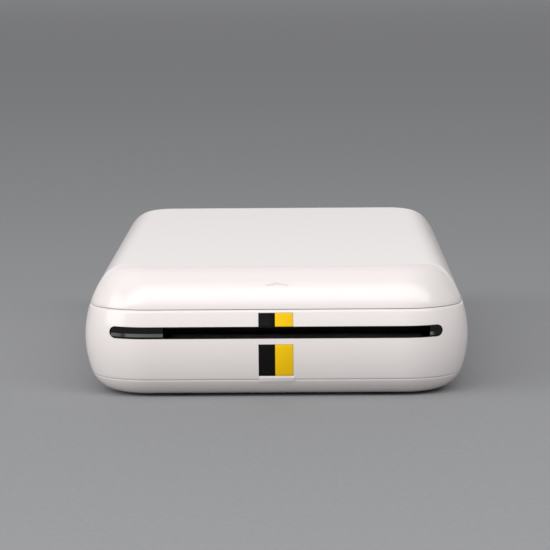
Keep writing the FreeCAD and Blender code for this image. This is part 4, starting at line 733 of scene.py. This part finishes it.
# %% [markdown]
# Openings in the band
#
# The exit slot, the button hole, the charging socket and the lamp hole all have round ends. A
# box whose four edges along the cut are rounded all the way makes such a cutter, and Boolean
# takes it out. The rims stay crisp, because the mould's rounding there is too small to show.

# %% Cut the openings
PILL_STEPS = 14
NEARLY = 0.999


def pill(name, middle, length, height, depth, along):
    """A bar with half-round ends that points along X or Y."""
    axis = "XY".index(along)
    half = Vector((length, depth, height) if axis else (depth, length, height)) / 2
    middle = Vector(middle)
    piece = box_between(name, middle - half, middle + half)
    points = piece.data.vertices
    bpy.ops.object.mode_set(mode="EDIT")

    def points_along(edge):
        start, end = (points[corner].co for corner in edge.vertices)
        return abs(start[axis] - end[axis]) > depth / 2

    choose(piece, "EDGE", points_along)
    bpy.ops.mesh.bevel(offset=height / 2 * NEARLY, segments=PILL_STEPS, affect="EDGES")
    close_edit()
    return piece


FRONT = -HALF_LENGTH
SLOT_WIDTH = 65.2 * MM
SLOT_DEPTH = 10 * MM
SLOT_CENTRE = (0, FRONT + SLOT_DEPTH * 0.4, SLOT_MIDDLE)
cut_away(band, pill("slot_cut", SLOT_CENTRE, SLOT_WIDTH, SLOT_HALF * 2, SLOT_DEPTH, "Y"))

BUTTON_ROOM = 0.15 * MM
BUTTON_LENGTH = 10 * MM
BUTTON_HEIGHT = 3.4 * MM
BUTTON_DEPTH = 6 * MM
button_low, button_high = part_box("power_button")
BUTTON_Y = middle_of("power_button").y
cut_away(band, pill(
    "button_cut", (HALF_WIDTH, BUTTON_Y, WIDE_HEIGHT),
    BUTTON_LENGTH + BUTTON_ROOM * 2, BUTTON_HEIGHT + BUTTON_ROOM * 2, BUTTON_DEPTH, "X",
))

PORT_ROOM = 0.4 * MM
PORT_DEPTH = 9.6 * MM
port_low, port_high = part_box("charging_port")
port_middle = middle_of("charging_port")
cut_away(band, pill(
    "port_cut", (port_middle.x, HALF_LENGTH, port_middle.z),
    port_high.x - port_low.x + PORT_ROOM * 2, port_high.z - port_low.z + PORT_ROOM * 2,
    PORT_DEPTH, "Y",
))

PIPE_RADIUS = 0.9 * MM
PIPE_ROOM = 0.1 * MM
PIPE_DEPTH = 9 * MM
pipe_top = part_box("light_pipe")[1].z
pipe_middle = (middle_of("light_pipe").x, HALF_LENGTH, pipe_top - PIPE_RADIUS)
cut_away(band, rod("pipe_cut", pipe_middle, PIPE_RADIUS + PIPE_ROOM, PIPE_DEPTH, "Y"))
print("band after cutting", len(band.data.polygons), "faces")

# %% [markdown]
# Recess for the stripe
#
# The four stripe inlays are let into the band's front, half a millimetre deep. A flat strip is
# extruded step by step round the barrel's centre, which gives a bar that follows the barrel. The
# same helper makes the cutter of the recess, a little larger, and then the inlays themselves.

# %% Bars that follow the barrel
STRIPE_LEFT = -3.35 * MM
STRIPE_MIDDLE = -0.15 * MM
STRIPE_RIGHT = 3.35 * MM
UPPER_STRIPE = (14.4 * MM, 17.0 * MM)
LOWER_STRIPE = (4.55 * MM, 10.9 * MM)
STRIPE_DEPTH = 0.5 * MM
STRIPE_GAP = 0.05 * MM


def curved_bar(name, across, upright, depth, proud, steps=8):
    """A bar that follows the front wall between two heights, from proud of it to depth under it."""
    start, end = angle_at(upright[0]), angle_at(upright[1])
    centre, radius = arc_of((start + end) / 2)
    pivot = Vector((0, FRONT + centre[0], centre[1]))
    clear()
    middle = (sum(across) / 2, pivot.y - radius + (depth - proud) / 2, pivot.z)
    bpy.ops.mesh.primitive_plane_add(size=1, location=middle)
    piece = settle(name, (across[1] - across[0], depth + proud, 1))
    edit_all()
    bpy.ops.transform.rotate(value=start, orient_axis="X", center_override=pivot)
    for _ in range(steps):
        bpy.ops.mesh.extrude_region_move(TRANSFORM_OT_translate={"value": (0, 0, 0)})
        bpy.ops.transform.rotate(value=(end - start) / steps, orient_axis="X", center_override=pivot)
    face_outwards()
    close_edit()
    return piece


# %% Cut the recess
recess = (STRIPE_LEFT - STRIPE_GAP, STRIPE_RIGHT + STRIPE_GAP)
for upright in (UPPER_STRIPE, LOWER_STRIPE):
    rows = (upright[0] - STRIPE_GAP, upright[1] + STRIPE_GAP)
    cut_away(band, curved_bar("stripe_cut", recess, rows, STRIPE_DEPTH + STRIPE_GAP, MM))
smooth(band)
fits("side_band", band)

# %% [markdown]
# The stripe
#
# The stripe is four glossy inlays: black on the left and yellow on the right, above and below the
# slot. Each is a bar that follows the barrel and lies flush with it. Its edges are rounded by a
# hair, so that a thin line of light and shade parts it from the white, as on the real case.

# %% Stripe inlays
INLAY_EDGE = 0.05 * MM
halves = {"black": (STRIPE_LEFT, STRIPE_MIDDLE), "yellow": (STRIPE_MIDDLE, STRIPE_RIGHT)}
stripes = {}
for part, upright in (("upper", UPPER_STRIPE), ("lower", LOWER_STRIPE)):
    for colour, across in halves.items():
        node = f"{colour}_stripe_{part}"
        name = f"{colour}_inlay_{part}"
        inlay = curved_bar(name, across, upright, STRIPE_DEPTH, proud=0.0, steps=10)
        stripes[node] = smooth(round_edges(inlay, INLAY_EDGE))
        fits(node, inlay)

# %% [markdown]
# The tab under the stripe
#
# Below the lower stripe, a small white tab bridges the seam between band and tray. It is a thin
# bar that follows the tighter arc of the foot, and it stands a hair proud of both shells.

# %% Tab
TAB_ACROSS = (STRIPE_LEFT + 0.1 * MM, STRIPE_RIGHT + 0.25 * MM)
TAB_UPRIGHT = (3.3 * MM, 4.35 * MM)
TAB_DEPTH = 0.3 * MM
TAB_PROUD = 0.14 * MM
TAB_EDGE = 0.08 * MM
seam_tab = curved_bar("seam_tab", TAB_ACROSS, TAB_UPRIGHT, TAB_DEPTH, TAB_PROUD, steps=6)
smooth(round_edges(seam_tab, TAB_EDGE))
print("tab", len(seam_tab.data.polygons), "faces")

# %% [markdown]
# Ledges and screw ears in the band
#
# With the lid off, the band's inside shows three ledges on each side, which the hooks catch, and
# four ears that take the case screws. Each is moulded on the wall, so the boxes reach into it.

# %% Ledges and ears
LEDGE_BOTTOM = TOE_TOP + 0.25 * MM
LEDGE_TOP = BAND_TOP - 0.3 * MM
LEDGE_INSIDE = HOOK_OUTSIDE + 0.15 * MM
LEDGE_DEPTH = 1.5 * MM
EAR_BOTTOM = 6.4 * MM
EAR_TOP = 7.9 * MM
EAR_HALF = 2.4 * MM
SCREW_PLACES = [(19.0 * MM, FRONT + 7.6 * MM), (31.0 * MM, HALF_LENGTH - 21.0 * MM)]
inner = []
for side in (-1, 1):
    for front in hook_fronts:
        across = (side * LEDGE_INSIDE, side * (LEDGE_INSIDE + LEDGE_DEPTH))
        along = (front, front + HOOK_LENGTH)
        inner.append(sloped_box("ledge", across, along, (LEDGE_BOTTOM, LEDGE_TOP), False))
    (front_x, front_y), (rear_x, rear_y) = SCREW_PLACES
    inner.append(box_between(
        "ear", (side * front_x - EAR_HALF, FRONT + WALL, EAR_BOTTOM),
        (side * front_x + EAR_HALF, front_y + EAR_HALF, EAR_TOP), SMALL_EDGE,
    ))
    inner.append(box_between(
        "ear", (side * (rear_x - EAR_HALF), rear_y - EAR_HALF, EAR_BOTTOM),
        (side * (HALF_WIDTH - WALL), rear_y + EAR_HALF, EAR_TOP), SMALL_EDGE,
    ))
band_ledges = smooth(join("band_ledges", inner))
print("ledges and ears", len(band_ledges.data.polygons), "faces")

# %% [markdown]
# The tray
#
# The tray closes the case from below. Its outside runs from the seam round the tight arc to the
# flat bottom. Its inside first steps up as a lip that sits within the band, and then follows the
# same arc. The screw bores and the recesses of the feet are taken out of the closed shell.

# %% Tray
LIP_ROOM = 0.15 * MM
LIP_THICKNESS = 0.9 * MM
LIP_HEIGHT = 1.5 * MM
PAN_STEP = 0.02 * MM
under = wall_run(SEAM, TRAY_BOTTOM, depth=0.0, steps=16)
lip_outside = wall_point(angle_at(SEAM, WALL), WALL)[0] + LIP_ROOM
lip_inside = lip_outside + LIP_THICKNESS
pan = wall_run(SEAM, TRAY_BOTTOM + WALL, depth=WALL, steps=12)
pan = [point for point in pan if point[0] > lip_inside + PAN_STEP]
tray = join("tray", [
    follow("tray_outside", under, True),
    follow("tray_inside", [
        under[0], (lip_outside, SEAM), (lip_outside, SEAM + LIP_HEIGHT),
        (lip_inside, SEAM + LIP_HEIGHT), (lip_inside, pan[0][1] + PAN_STEP), *pan,
    ], True),
])
open_edges = weld(tray)
rounded = round_loops(tray, SEAM, (under[0][0],), FOOT_EDGE, EDGE_STEPS)
print("tray: open edges", open_edges, "edges rounded", rounded)

# %% Bores and recesses
HEAD_BORE = 2.05 * MM
HEAD_SEAT = 1.7 * MM
SHANK_BORE = 1.1 * MM
BOSS_RADIUS = 2.3 * MM
BOSS_TOP = 4.9 * MM
FOOT_RADIUS = 3.5 * MM
FOOT_TOP = 1.1 * MM
FOOT_ROOM = 0.1 * MM
screw_places = [(side * x, y) for x, y in SCREW_PLACES for side in (-1, 1)]
feet_low, feet_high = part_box("rubber_feet")
foot_places = [
    (side * (feet_high.x - FOOT_RADIUS), y)
    for side in (-1, 1) for y in (feet_low.y + FOOT_RADIUS, feet_high.y - FOOT_RADIUS)
]
for place in screw_places:
    combine(tray, disc("boss", place, BOSS_RADIUS, TRAY_BOTTOM + WALL / 2, BOSS_TOP), "UNION")
    cut_away(tray, disc("bore", place, HEAD_BORE, -MM, HEAD_SEAT))
    cut_away(tray, disc("bore", place, SHANK_BORE, TRAY_BOTTOM, BOSS_TOP + MM, sides=SHANK_SIDES))
for place in foot_places:
    cut_away(tray, disc("recess", place, FOOT_RADIUS + FOOT_ROOM, -MM, FOOT_TOP))
smooth(tray)
fits("bottom_shell", tray)

# %% [markdown]
# Feet
#
# Four soft rubber discs are pressed into the tray's recesses. One is modelled, a disc with a
# rounded rim and a shallow ring pressed into its face, and then copied.

# %% Feet
RING_OUTSIDE = FOOT_RADIUS * 0.62
RING_INSIDE = FOOT_RADIUS * 0.42
RING_DEPTH = 0.15 * MM
foot = disc("foot", (0, 0), FOOT_RADIUS, 0.0, FOOT_TOP)
ring = disc("ring", (0, 0), RING_OUTSIDE, -MM, RING_DEPTH)
cut_away(ring, disc("core", (0, 0), RING_INSIDE, -2 * MM, MM))
round_edges(cut_away(foot, ring), SMALL_EDGE)
feet = smooth(copies("feet", foot, [(x, y, 0) for x, y in foot_places]))
fits("rubber_feet", feet)

# %% [markdown]
# Screws
#
# The case, the board, the bridge and the motor are held by pan-head screws with a cross recess.
# Each kind is modelled once at the origin with its head up: a head with a rounded rim, a shank
# under it, and a cross made of two boxes that is taken out of the head. Then it is copied.


# %% Model a screw
HEAD_ROUNDING = 0.3
CROSS_REACH = 0.6
CROSS_WIDTH = 0.14
CROSS_FLOOR = 0.45
SHANK_ROUNDING = 0.25
SHANK_OVERLAP = 0.02 * MM


def screw(head_radius, head_height, shank_radius, length):
    """A screw that stands on the origin: its head above, its shank below."""
    head = disc("screw", (0, 0), head_radius, 0.0, head_height, head_height * HEAD_ROUNDING)
    arm, blade = head_radius * CROSS_REACH, head_radius * CROSS_WIDTH
    for x, y in ((arm, blade), (blade, arm)):
        corner, opposite = (-x, -y, head_height * CROSS_FLOOR), (x, y, head_height + MM)
        cut_away(head, box_between("cross", corner, opposite))
    tip = shank_radius * SHANK_ROUNDING
    shank = disc("shank", (0, 0), shank_radius, -length, SHANK_OVERLAP, tip, SHANK_SIDES)
    return smooth(combine(head, shank, "UNION"))


# %% Copy the screws
screws = {}
made = screw(1.9 * MM, 1.1 * MM, shank_radius=1.0 * MM, length=6.0 * MM)
seats = [(x, y, HEAD_SEAT) for x, y in screw_places]
screws["case_screws"] = copies("case_screw_set", turn_over(made, math.pi, "X"), seats)

low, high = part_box("board_screws")
board_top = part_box("main_board")[1].z
head, cap = 1.3 * MM, 0.6 * MM
made = screw(head, cap, shank_radius=0.7 * MM, length=2.2 * MM)
seats = [(low.x + head, low.y + head, board_top), (high.x - head, high.y - head, board_top)]
screws["board_screws"] = copies("board_screw_set", made, seats)

low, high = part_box("bridge_screws")
head, cap = 1.4 * MM, 0.7 * MM
middle = middle_of("bridge_screws").y
made = screw(head, cap, shank_radius=0.75 * MM, length=2.2 * MM)
seats = [(low.x + head, middle, high.z - cap), (high.x - head, middle, high.z - cap)]
screws["bridge_screws"] = copies("bridge_screw_set", made, seats)

low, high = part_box("motor_screws")
head, cap = 1.1 * MM, 0.5 * MM
middle = middle_of("motor_screws").z
made = screw(head, cap, shank_radius=0.6 * MM, length=3.0 * MM)
seats = [(low.x + cap, low.y + head, middle), (low.x + cap, high.y - head, middle)]
screws["motor_screws"] = copies("motor_screw_set", turn_over(made, math.pi / 2, "Y"), seats)
for node, piece in screws.items():
    fits(node, piece)

# %% [markdown]
# The mouth of the slot
#
# The exit slot is lined with glossy black plastic. On the left and at the right end the lining is
# closed, and only the paper's width is open. The lower half of the closed parts leans back a
# little, so it mirrors the light in front as a soft line. A pill is cut to the case's outline,
# whose inset grows over that leaning stretch, and then the paper channel goes through.

# %% Mouth
BAY_LEFT = -22.0 * MM
BAY_RIGHT = 30.1 * MM
MOUTH_ROOM = 0.04 * MM
MOUTH_WALL = 0.16 * MM
MOUTH_FRONT = 0.12 * MM
LEAN_DEPTH = 0.39 * MM
LEAN_START = 0.40 * MM
LEAN_END = 1.00 * MM
MOUTH_CREASE = 15
CHANNEL_START = FRONT - 2 * MM
CHANNEL_END = FRONT + 12 * MM
mouth_half = SLOT_HALF - MOUTH_ROOM
channel_half = mouth_half - MOUTH_WALL
slot_foot = SLOT_MIDDLE - SLOT_HALF
mouth_width = SLOT_WIDTH - MOUTH_ROOM * 2
mouth = pill("slot_mouth", SLOT_CENTRE, mouth_width, mouth_half * 2, SLOT_DEPTH - MM, "Y")
mouth_face = [
    (MOUTH_FRONT, slot_foot - MM), (MOUTH_FRONT, slot_foot + LEAN_START),
    (LEAN_DEPTH, slot_foot + LEAN_END), (LEAN_DEPTH, SLOT_MIDDLE + SLOT_HALF + MM),
]
combine(mouth, solid_outline("outline", mouth_face), "INTERSECT")
channel = box_between(
    "channel", (BAY_LEFT, CHANNEL_START, SLOT_MIDDLE - channel_half),
    (BAY_RIGHT, CHANNEL_END, SLOT_MIDDLE + channel_half),
)
smooth(cut_away(mouth, channel), MOUTH_CREASE)
print("mouth", len(mouth.data.polygons), "faces")

# %% [markdown]
# The power button
#
# The button is a pill that stands in the band's right side and moves in by half a millimetre. A
# flange behind the wall keeps it in, and a stem reaches the switch. The pill's outer rim is
# rounded in three steps, as a fingertip would want it.

# %% Button
FLANGE_FACE = 36.17 * MM
FLANGE_BACK = FLANGE_FACE - MM
JOIN = 0.3 * MM
CAP_INSIDE = FLANGE_FACE - JOIN
CAP_EDGE = 0.4 * MM
FLANGE_EDGE = 0.1 * MM
STEM_RADIUS = 0.9 * MM
cap_middle = ((CAP_INSIDE + button_high.x) / 2, BUTTON_Y, WIDE_HEIGHT)
cap_depth = button_high.x - CAP_INSIDE
cap = pill("button_cap", cap_middle, BUTTON_LENGTH, BUTTON_HEIGHT, cap_depth, "X")
round_edges(cap, CAP_EDGE, RIM_STEPS)
flange = pill(
    "flange", ((FLANGE_FACE + FLANGE_BACK) / 2, BUTTON_Y, WIDE_HEIGHT),
    button_high.y - button_low.y, button_high.z - button_low.z, FLANGE_FACE - FLANGE_BACK, "X",
)
round_edges(flange, FLANGE_EDGE)
stem_length = FLANGE_BACK + JOIN - button_low.x
stem_middle = (button_low.x + stem_length / 2, BUTTON_Y, WIDE_HEIGHT)
stem = round_edges(rod("stem", stem_middle, STEM_RADIUS, stem_length, "X"), FLANGE_EDGE)
button = smooth(join("button", [cap, flange, stem]))
fits("power_button", button)

# %% [markdown]
# Springs
#
# Two wide springs press the paper plate down, and two small ones press the print head on its
# roller. A circle of wire is screwed up into a helix by the Screw modifier, and its ends are
# filled.


# %% Wind a spring
WIRE_SIDES = 12
WIND_STEPS = 32
WIRE_CREASE = 50


def spring(node, turns, wire):
    """A helix of round wire that fills a node's box."""
    low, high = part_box(node)
    radius = (high.x - low.x) / 2 - wire
    clear()
    bpy.ops.mesh.primitive_circle_add(
        vertices=WIRE_SIDES, radius=wire,
        rotation=(math.pi / 2, 0, 0), location=(radius, 0, low.z + wire),
    )
    piece = settle(f"{node}_wire")
    rise = high.z - low.z - wire * 2
    apply_modifier(
        piece, "SCREW", axis="Z", angle=math.tau, screw_offset=rise / turns, iterations=turns,
        steps=WIND_STEPS, render_steps=WIND_STEPS,
    )
    edit_all()
    bpy.ops.mesh.fill_holes(sides=0)
    face_outwards()
    close_edit()
    piece.location = (*middle_of(node).xy, 0)
    return smooth(settle(piece.name), WIRE_CREASE)


# %% The four springs
springs = {
    # node: body, joint, turns, radius of the wire
    "front_plate_spring": ("cover", "plate_travel", 5, 0.36 * MM),
    "rear_plate_spring": ("cover", "plate_travel", 5, 0.36 * MM),
    "left_head_spring": ("root", "head_lift", 4, 0.22 * MM),
    "right_head_spring": ("root", "head_lift", 4, 0.22 * MM),
}
spring_wires = {}
for node, (body, joint, turns, wire) in springs.items():
    spring_wires[node] = spring(node, turns, wire)
    fits(node, spring_wires[node])

# %% [markdown]
# Finishes
#
# Every finish starts from one recipe. A broad noise moves the colour between two close tones, and
# a fine noise gives the gloss and the relief. Both read Object coordinates, which don't slide when
# a piece moves. Stretching the fine noise along one direction turns it into brush or grind marks.


# %% The recipe
finishes = {}


def finish(name, dark, light, gloss, grain, relief, patch, stretch=(1, 1, 1), metal=0.0, mirror=0.5):
    """A surface whose colour, gloss and relief vary with fine patterns, given by their scales."""
    paint, tree, shader = new_paint(name)
    shader.inputs["Metallic"].default_value = metal
    shader.inputs["Specular IOR Level"].default_value = mirror
    place = add(tree, "TexCoord")
    mapping = add(tree, "Mapping", Scale=stretch)
    link(tree, place, "Object", mapping, "Vector")

    patches = add(tree, "TexNoise", Scale=patch, Detail=3.0)
    link(tree, place, "Object", patches, "Vector")
    tone = add(tree, "ValToRGB")
    tone.name = "tone"
    set_ramp(tone, dark, light, start=0.35, end=0.65)
    link(tree, patches, "Fac", tone, "Fac")
    link(tree, tone, "Color", shader, "Base Color")

    grains = add(tree, "TexNoise", Scale=grain, Detail=4.0)
    link(tree, mapping, "Vector", grains, "Vector")
    shine = add(tree, "MapRange", From_Min=0.3, From_Max=0.7, To_Min=gloss[0], To_Max=gloss[1])
    link(tree, grains, "Fac", shine, "Value")
    link(tree, shine, "Result", shader, "Roughness")
    bump = add(tree, "Bump", Strength=relief, Distance=0.02 * MM)
    bump.name = "relief"
    link(tree, grains, "Fac", bump, "Height")
    link(tree, bump, "Normal", shader, "Normal")
    finishes[name] = paint
    return tree


# %% [markdown]
# Plastics
#
# The case is glossy white plastic with a faintly warm tone, polished in the mould, so its relief is
# almost nothing. The stripe and the slot's mouth are glossy too. The frame and the paper plate
# have the fine matt spark texture of inner parts, and the gears are milky acetal.

# %% Plastics
finish("shell_white", (0.880, 0.818, 0.803), (0.888, 0.828, 0.814),
       gloss=(0.200, 0.207), grain=260, relief=0.0006, patch=14)
finish("liner_black", (0.002, 0.0016, 0.0016), (0.004, 0.003, 0.003),
       gloss=(0.10, 0.15), grain=900, relief=0.01, patch=120, mirror=0.35)
finish("stripe_black", (0.003, 0.003, 0.003), (0.006, 0.006, 0.006),
       gloss=(0.12, 0.22), grain=900, relief=0.02, patch=150, mirror=0.15)
finish("stripe_yellow", (0.97, 0.585, 0.002), (1.0, 0.62, 0.004),
       gloss=(0.16, 0.26), grain=900, relief=0.02, patch=150, mirror=0.2)
finish("frame_black", (0.034, 0.034, 0.036), (0.041, 0.041, 0.043),
       gloss=(0.48, 0.62), grain=2600, relief=0.4, patch=180)
finish("plate_grey", (0.13, 0.13, 0.14), (0.18, 0.18, 0.19),
       gloss=(0.42, 0.60), grain=2600, relief=0.4, patch=200)
finish("gear_plastic", (0.78, 0.76, 0.70), (0.86, 0.85, 0.80),
       gloss=(0.34, 0.50), grain=1800, relief=0.15, patch=300)
finish("chip_black", (0.030, 0.030, 0.032), (0.055, 0.055, 0.058),
       gloss=(0.45, 0.65), grain=4200, relief=0.4, patch=500)
finish("clear_plastic", (0.80, 0.83, 0.83), (0.88, 0.90, 0.90),
       gloss=(0.10, 0.22), grain=1200, relief=0.05, patch=300)
finish("lamp_white", (0.88, 0.84, 0.55), (0.92, 0.90, 0.72),
       gloss=(0.25, 0.40), grain=1500, relief=0.10, patch=700)
# The push mark's fill: a darker grey that is painted shade in its groove.
finish("groove_shade_paint", (0.72, 0.67, 0.61), (0.78, 0.73, 0.67),
       gloss=(0.40, 0.55), grain=1500, relief=0.05, patch=300)
finish("strip_ceramic", (0.84, 0.84, 0.80), (0.91, 0.91, 0.88),
       gloss=(0.14, 0.26), grain=1500, relief=0.08, patch=260)
print("plastics", len(finishes))

# %% [markdown]
# Rubber
#
# The rollers are ground to size, which leaves fine rings round them, so their grain is stretched
# across the roller's axis. The feet are moulded, with an even matt skin.

# %% Rubber
finish("roller_rubber", (0.030, 0.030, 0.031), (0.058, 0.058, 0.060),
       gloss=(0.60, 0.80), grain=900, relief=0.6, patch=220, stretch=(4, 0.3, 0.3))
finish("foot_rubber", (0.045, 0.045, 0.046), (0.075, 0.075, 0.077),
       gloss=(0.55, 0.75), grain=2400, relief=0.4, patch=300)

# %% [markdown]
# Metals
#
# Shafts and pins are ground round, so their marks run across their axis. Sheet and cans are
# rolled, with long soft streaks. Spring wire is drawn and darker, the bushes are grainy sintered bronze,
# the pinion is turned brass and the heat sink has the long lines of extrusion.

# %% Metals
finish("shaft_steel", (0.52, 0.52, 0.53), (0.66, 0.66, 0.67),
       gloss=(0.18, 0.34), grain=1400, relief=0.25, patch=200, stretch=(6, 0.4, 0.4), metal=1.0)
finish("spring_steel", (0.42, 0.42, 0.44), (0.58, 0.58, 0.60),
       gloss=(0.24, 0.40), grain=1600, relief=0.20, patch=300, stretch=(1, 1, 3), metal=1.0)
finish("sheet_steel", (0.50, 0.51, 0.52), (0.64, 0.65, 0.66),
       gloss=(0.26, 0.46), grain=800, relief=0.20, patch=90, stretch=(0.25, 4, 4), metal=1.0)
finish("screw_steel", (0.10, 0.10, 0.11), (0.20, 0.20, 0.21),
       gloss=(0.28, 0.46), grain=2200, relief=0.20, patch=500, metal=1.0)
finish("motor_steel", (0.56, 0.56, 0.56), (0.68, 0.68, 0.69),
       gloss=(0.16, 0.32), grain=900, relief=0.15, patch=120, stretch=(0.4, 3, 3), metal=1.0)
finish("bush_bronze", (0.46, 0.30, 0.13), (0.62, 0.43, 0.21),
       gloss=(0.36, 0.56), grain=3800, relief=0.6, patch=700, metal=1.0)
finish("pinion_brass", (0.66, 0.48, 0.19), (0.80, 0.62, 0.29),
       gloss=(0.20, 0.36), grain=1500, relief=0.2, patch=300, stretch=(5, 0.5, 0.5), metal=1.0)
finish("sink_aluminium", (0.62, 0.63, 0.64), (0.76, 0.77, 0.78),
       gloss=(0.28, 0.46), grain=900, relief=0.3, patch=120, stretch=(0.15, 5, 5), metal=1.0)
finish("radio_shield", (0.58, 0.58, 0.57), (0.72, 0.72, 0.71),
       gloss=(0.24, 0.42), grain=1200, relief=0.25, patch=160, stretch=(1, 3, 1), metal=1.0)
finish("port_steel", (0.60, 0.60, 0.61), (0.76, 0.76, 0.77),
       gloss=(0.14, 0.28), grain=1200, relief=0.10, patch=260, stretch=(3, 0.6, 1), metal=1.0)
print("finishes so far", len(finishes))

# %% [markdown]
# Board and battery
#
# The board's green mask is thin, so the copper under it shows as lighter lines. A Voronoi texture
# with square cells gives such lines: where the distance to a cell's edge is small, the mask is
# lighter. The battery is a foil pouch, and larger cells of the same texture, used as relief, give
# its flat creases.

# %% Board
tree = finish("board_green", (0.012, 0.11, 0.045), (0.020, 0.15, 0.065),
              gloss=(0.22, 0.36), grain=900, relief=0.1, patch=180)
TRACE_COLOUR = (0.05, 0.30, 0.12, 1)
COLOUR_IN, COLOUR_OUT = 6, 2
traces = add(tree, "TexVoronoi", Scale=420.0)
traces.distance = "MANHATTAN"
traces.feature = "F2"
edge = add(tree, "ValToRGB")
edge.color_ramp.interpolation = "CONSTANT"
set_ramp(edge, (0, 0, 0), (1, 1, 1), end=0.72)
mix = add(tree, "Mix")
mix.data_type = "RGBA"
mix.inputs["B"].default_value = TRACE_COLOUR
link(tree, tree.nodes["Texture Coordinate"], "Object", traces, "Vector")
link(tree, traces, "Distance", edge, "Fac")
link(tree, edge, "Color", mix, "Factor")
tree.links.new(tree.nodes["tone"].outputs["Color"], mix.inputs[COLOUR_IN])
tree.links.new(mix.outputs[COLOUR_OUT], tree.nodes["Principled BSDF"].inputs["Base Color"])

# %% Battery
tree = finish("battery_wrap", (0.46, 0.47, 0.50), (0.58, 0.59, 0.61),
              gloss=(0.26, 0.44), grain=500, relief=0.2, patch=70, metal=0.7)
creases = add(tree, "TexVoronoi", Scale=130.0)
folds = add(tree, "Bump", Strength=0.25, Distance=0.1 * MM)
link(tree, tree.nodes["Texture Coordinate"], "Object", creases, "Vector")
link(tree, creases, "Distance", folds, "Height")
link(tree, tree.nodes["relief"], "Normal", folds, "Normal")
link(tree, folds, "Normal", tree.nodes["Principled BSDF"], "Normal")
print("all finishes", len(finishes))


# %% [markdown]
# Dress the pieces
#
# Every imported node names its material slot in the record, and gets the finish of that name. A new
# piece gets a finish and the body of the node that it stands for, and that node is hidden.

# %% Dress the imported nodes
def dress(piece, name):
    """Give a piece its finish."""
    piece.data.materials.clear()
    piece.data.materials.append(finishes[name])


slot_of = {entry["node"]: entry["material_slot"] for entry in frame["record"]["subparts"]}
for node, piece in nodes.items():
    dress(piece, slot_of[node])
print("dressed", len(slot_of), "nodes")

# %% Dress the new pieces
new_pieces = [
    (lid, "cover", "shell_white", "top_cover"),
    (lid_hooks, "cover", "shell_white", "top_cover"),
    (band, "root", "shell_white", "side_band"),
    (band_ledges, "root", "shell_white", "side_band"),
    (tray, "root", "shell_white", "bottom_shell"),
    (feet, "root", "foot_rubber", "rubber_feet"),
    (button, "button", "shell_white", "power_button"),
]
new_pieces += [(piece, "root", slot_of[node], node) for node, piece in stripes.items()]
new_pieces += [(piece, "root", slot_of[node], node) for node, piece in screws.items()]
new_pieces += [
    (piece, springs[node][0], "spring_steel", node) for node, piece in spring_wires.items()
]
for piece, body, name, node in new_pieces:
    dress(piece, name)
    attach(piece, body)
    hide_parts(node)
added_pieces = [
    (push_mark, "cover", "groove_shade_paint", "shell_white"),
    (seam_tab, "root", "shell_white", "shell_white"),
    (mouth, "root", "liner_black", "liner_black"),
]
for piece, body, name, slot in added_pieces:
    dress(piece, name)
    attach(piece, body)
for node, piece in spring_wires.items():
    joint = springs[node][1]
    low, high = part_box(node)
    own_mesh(piece)
print("new pieces", len(new_pieces) + len(added_pieces))
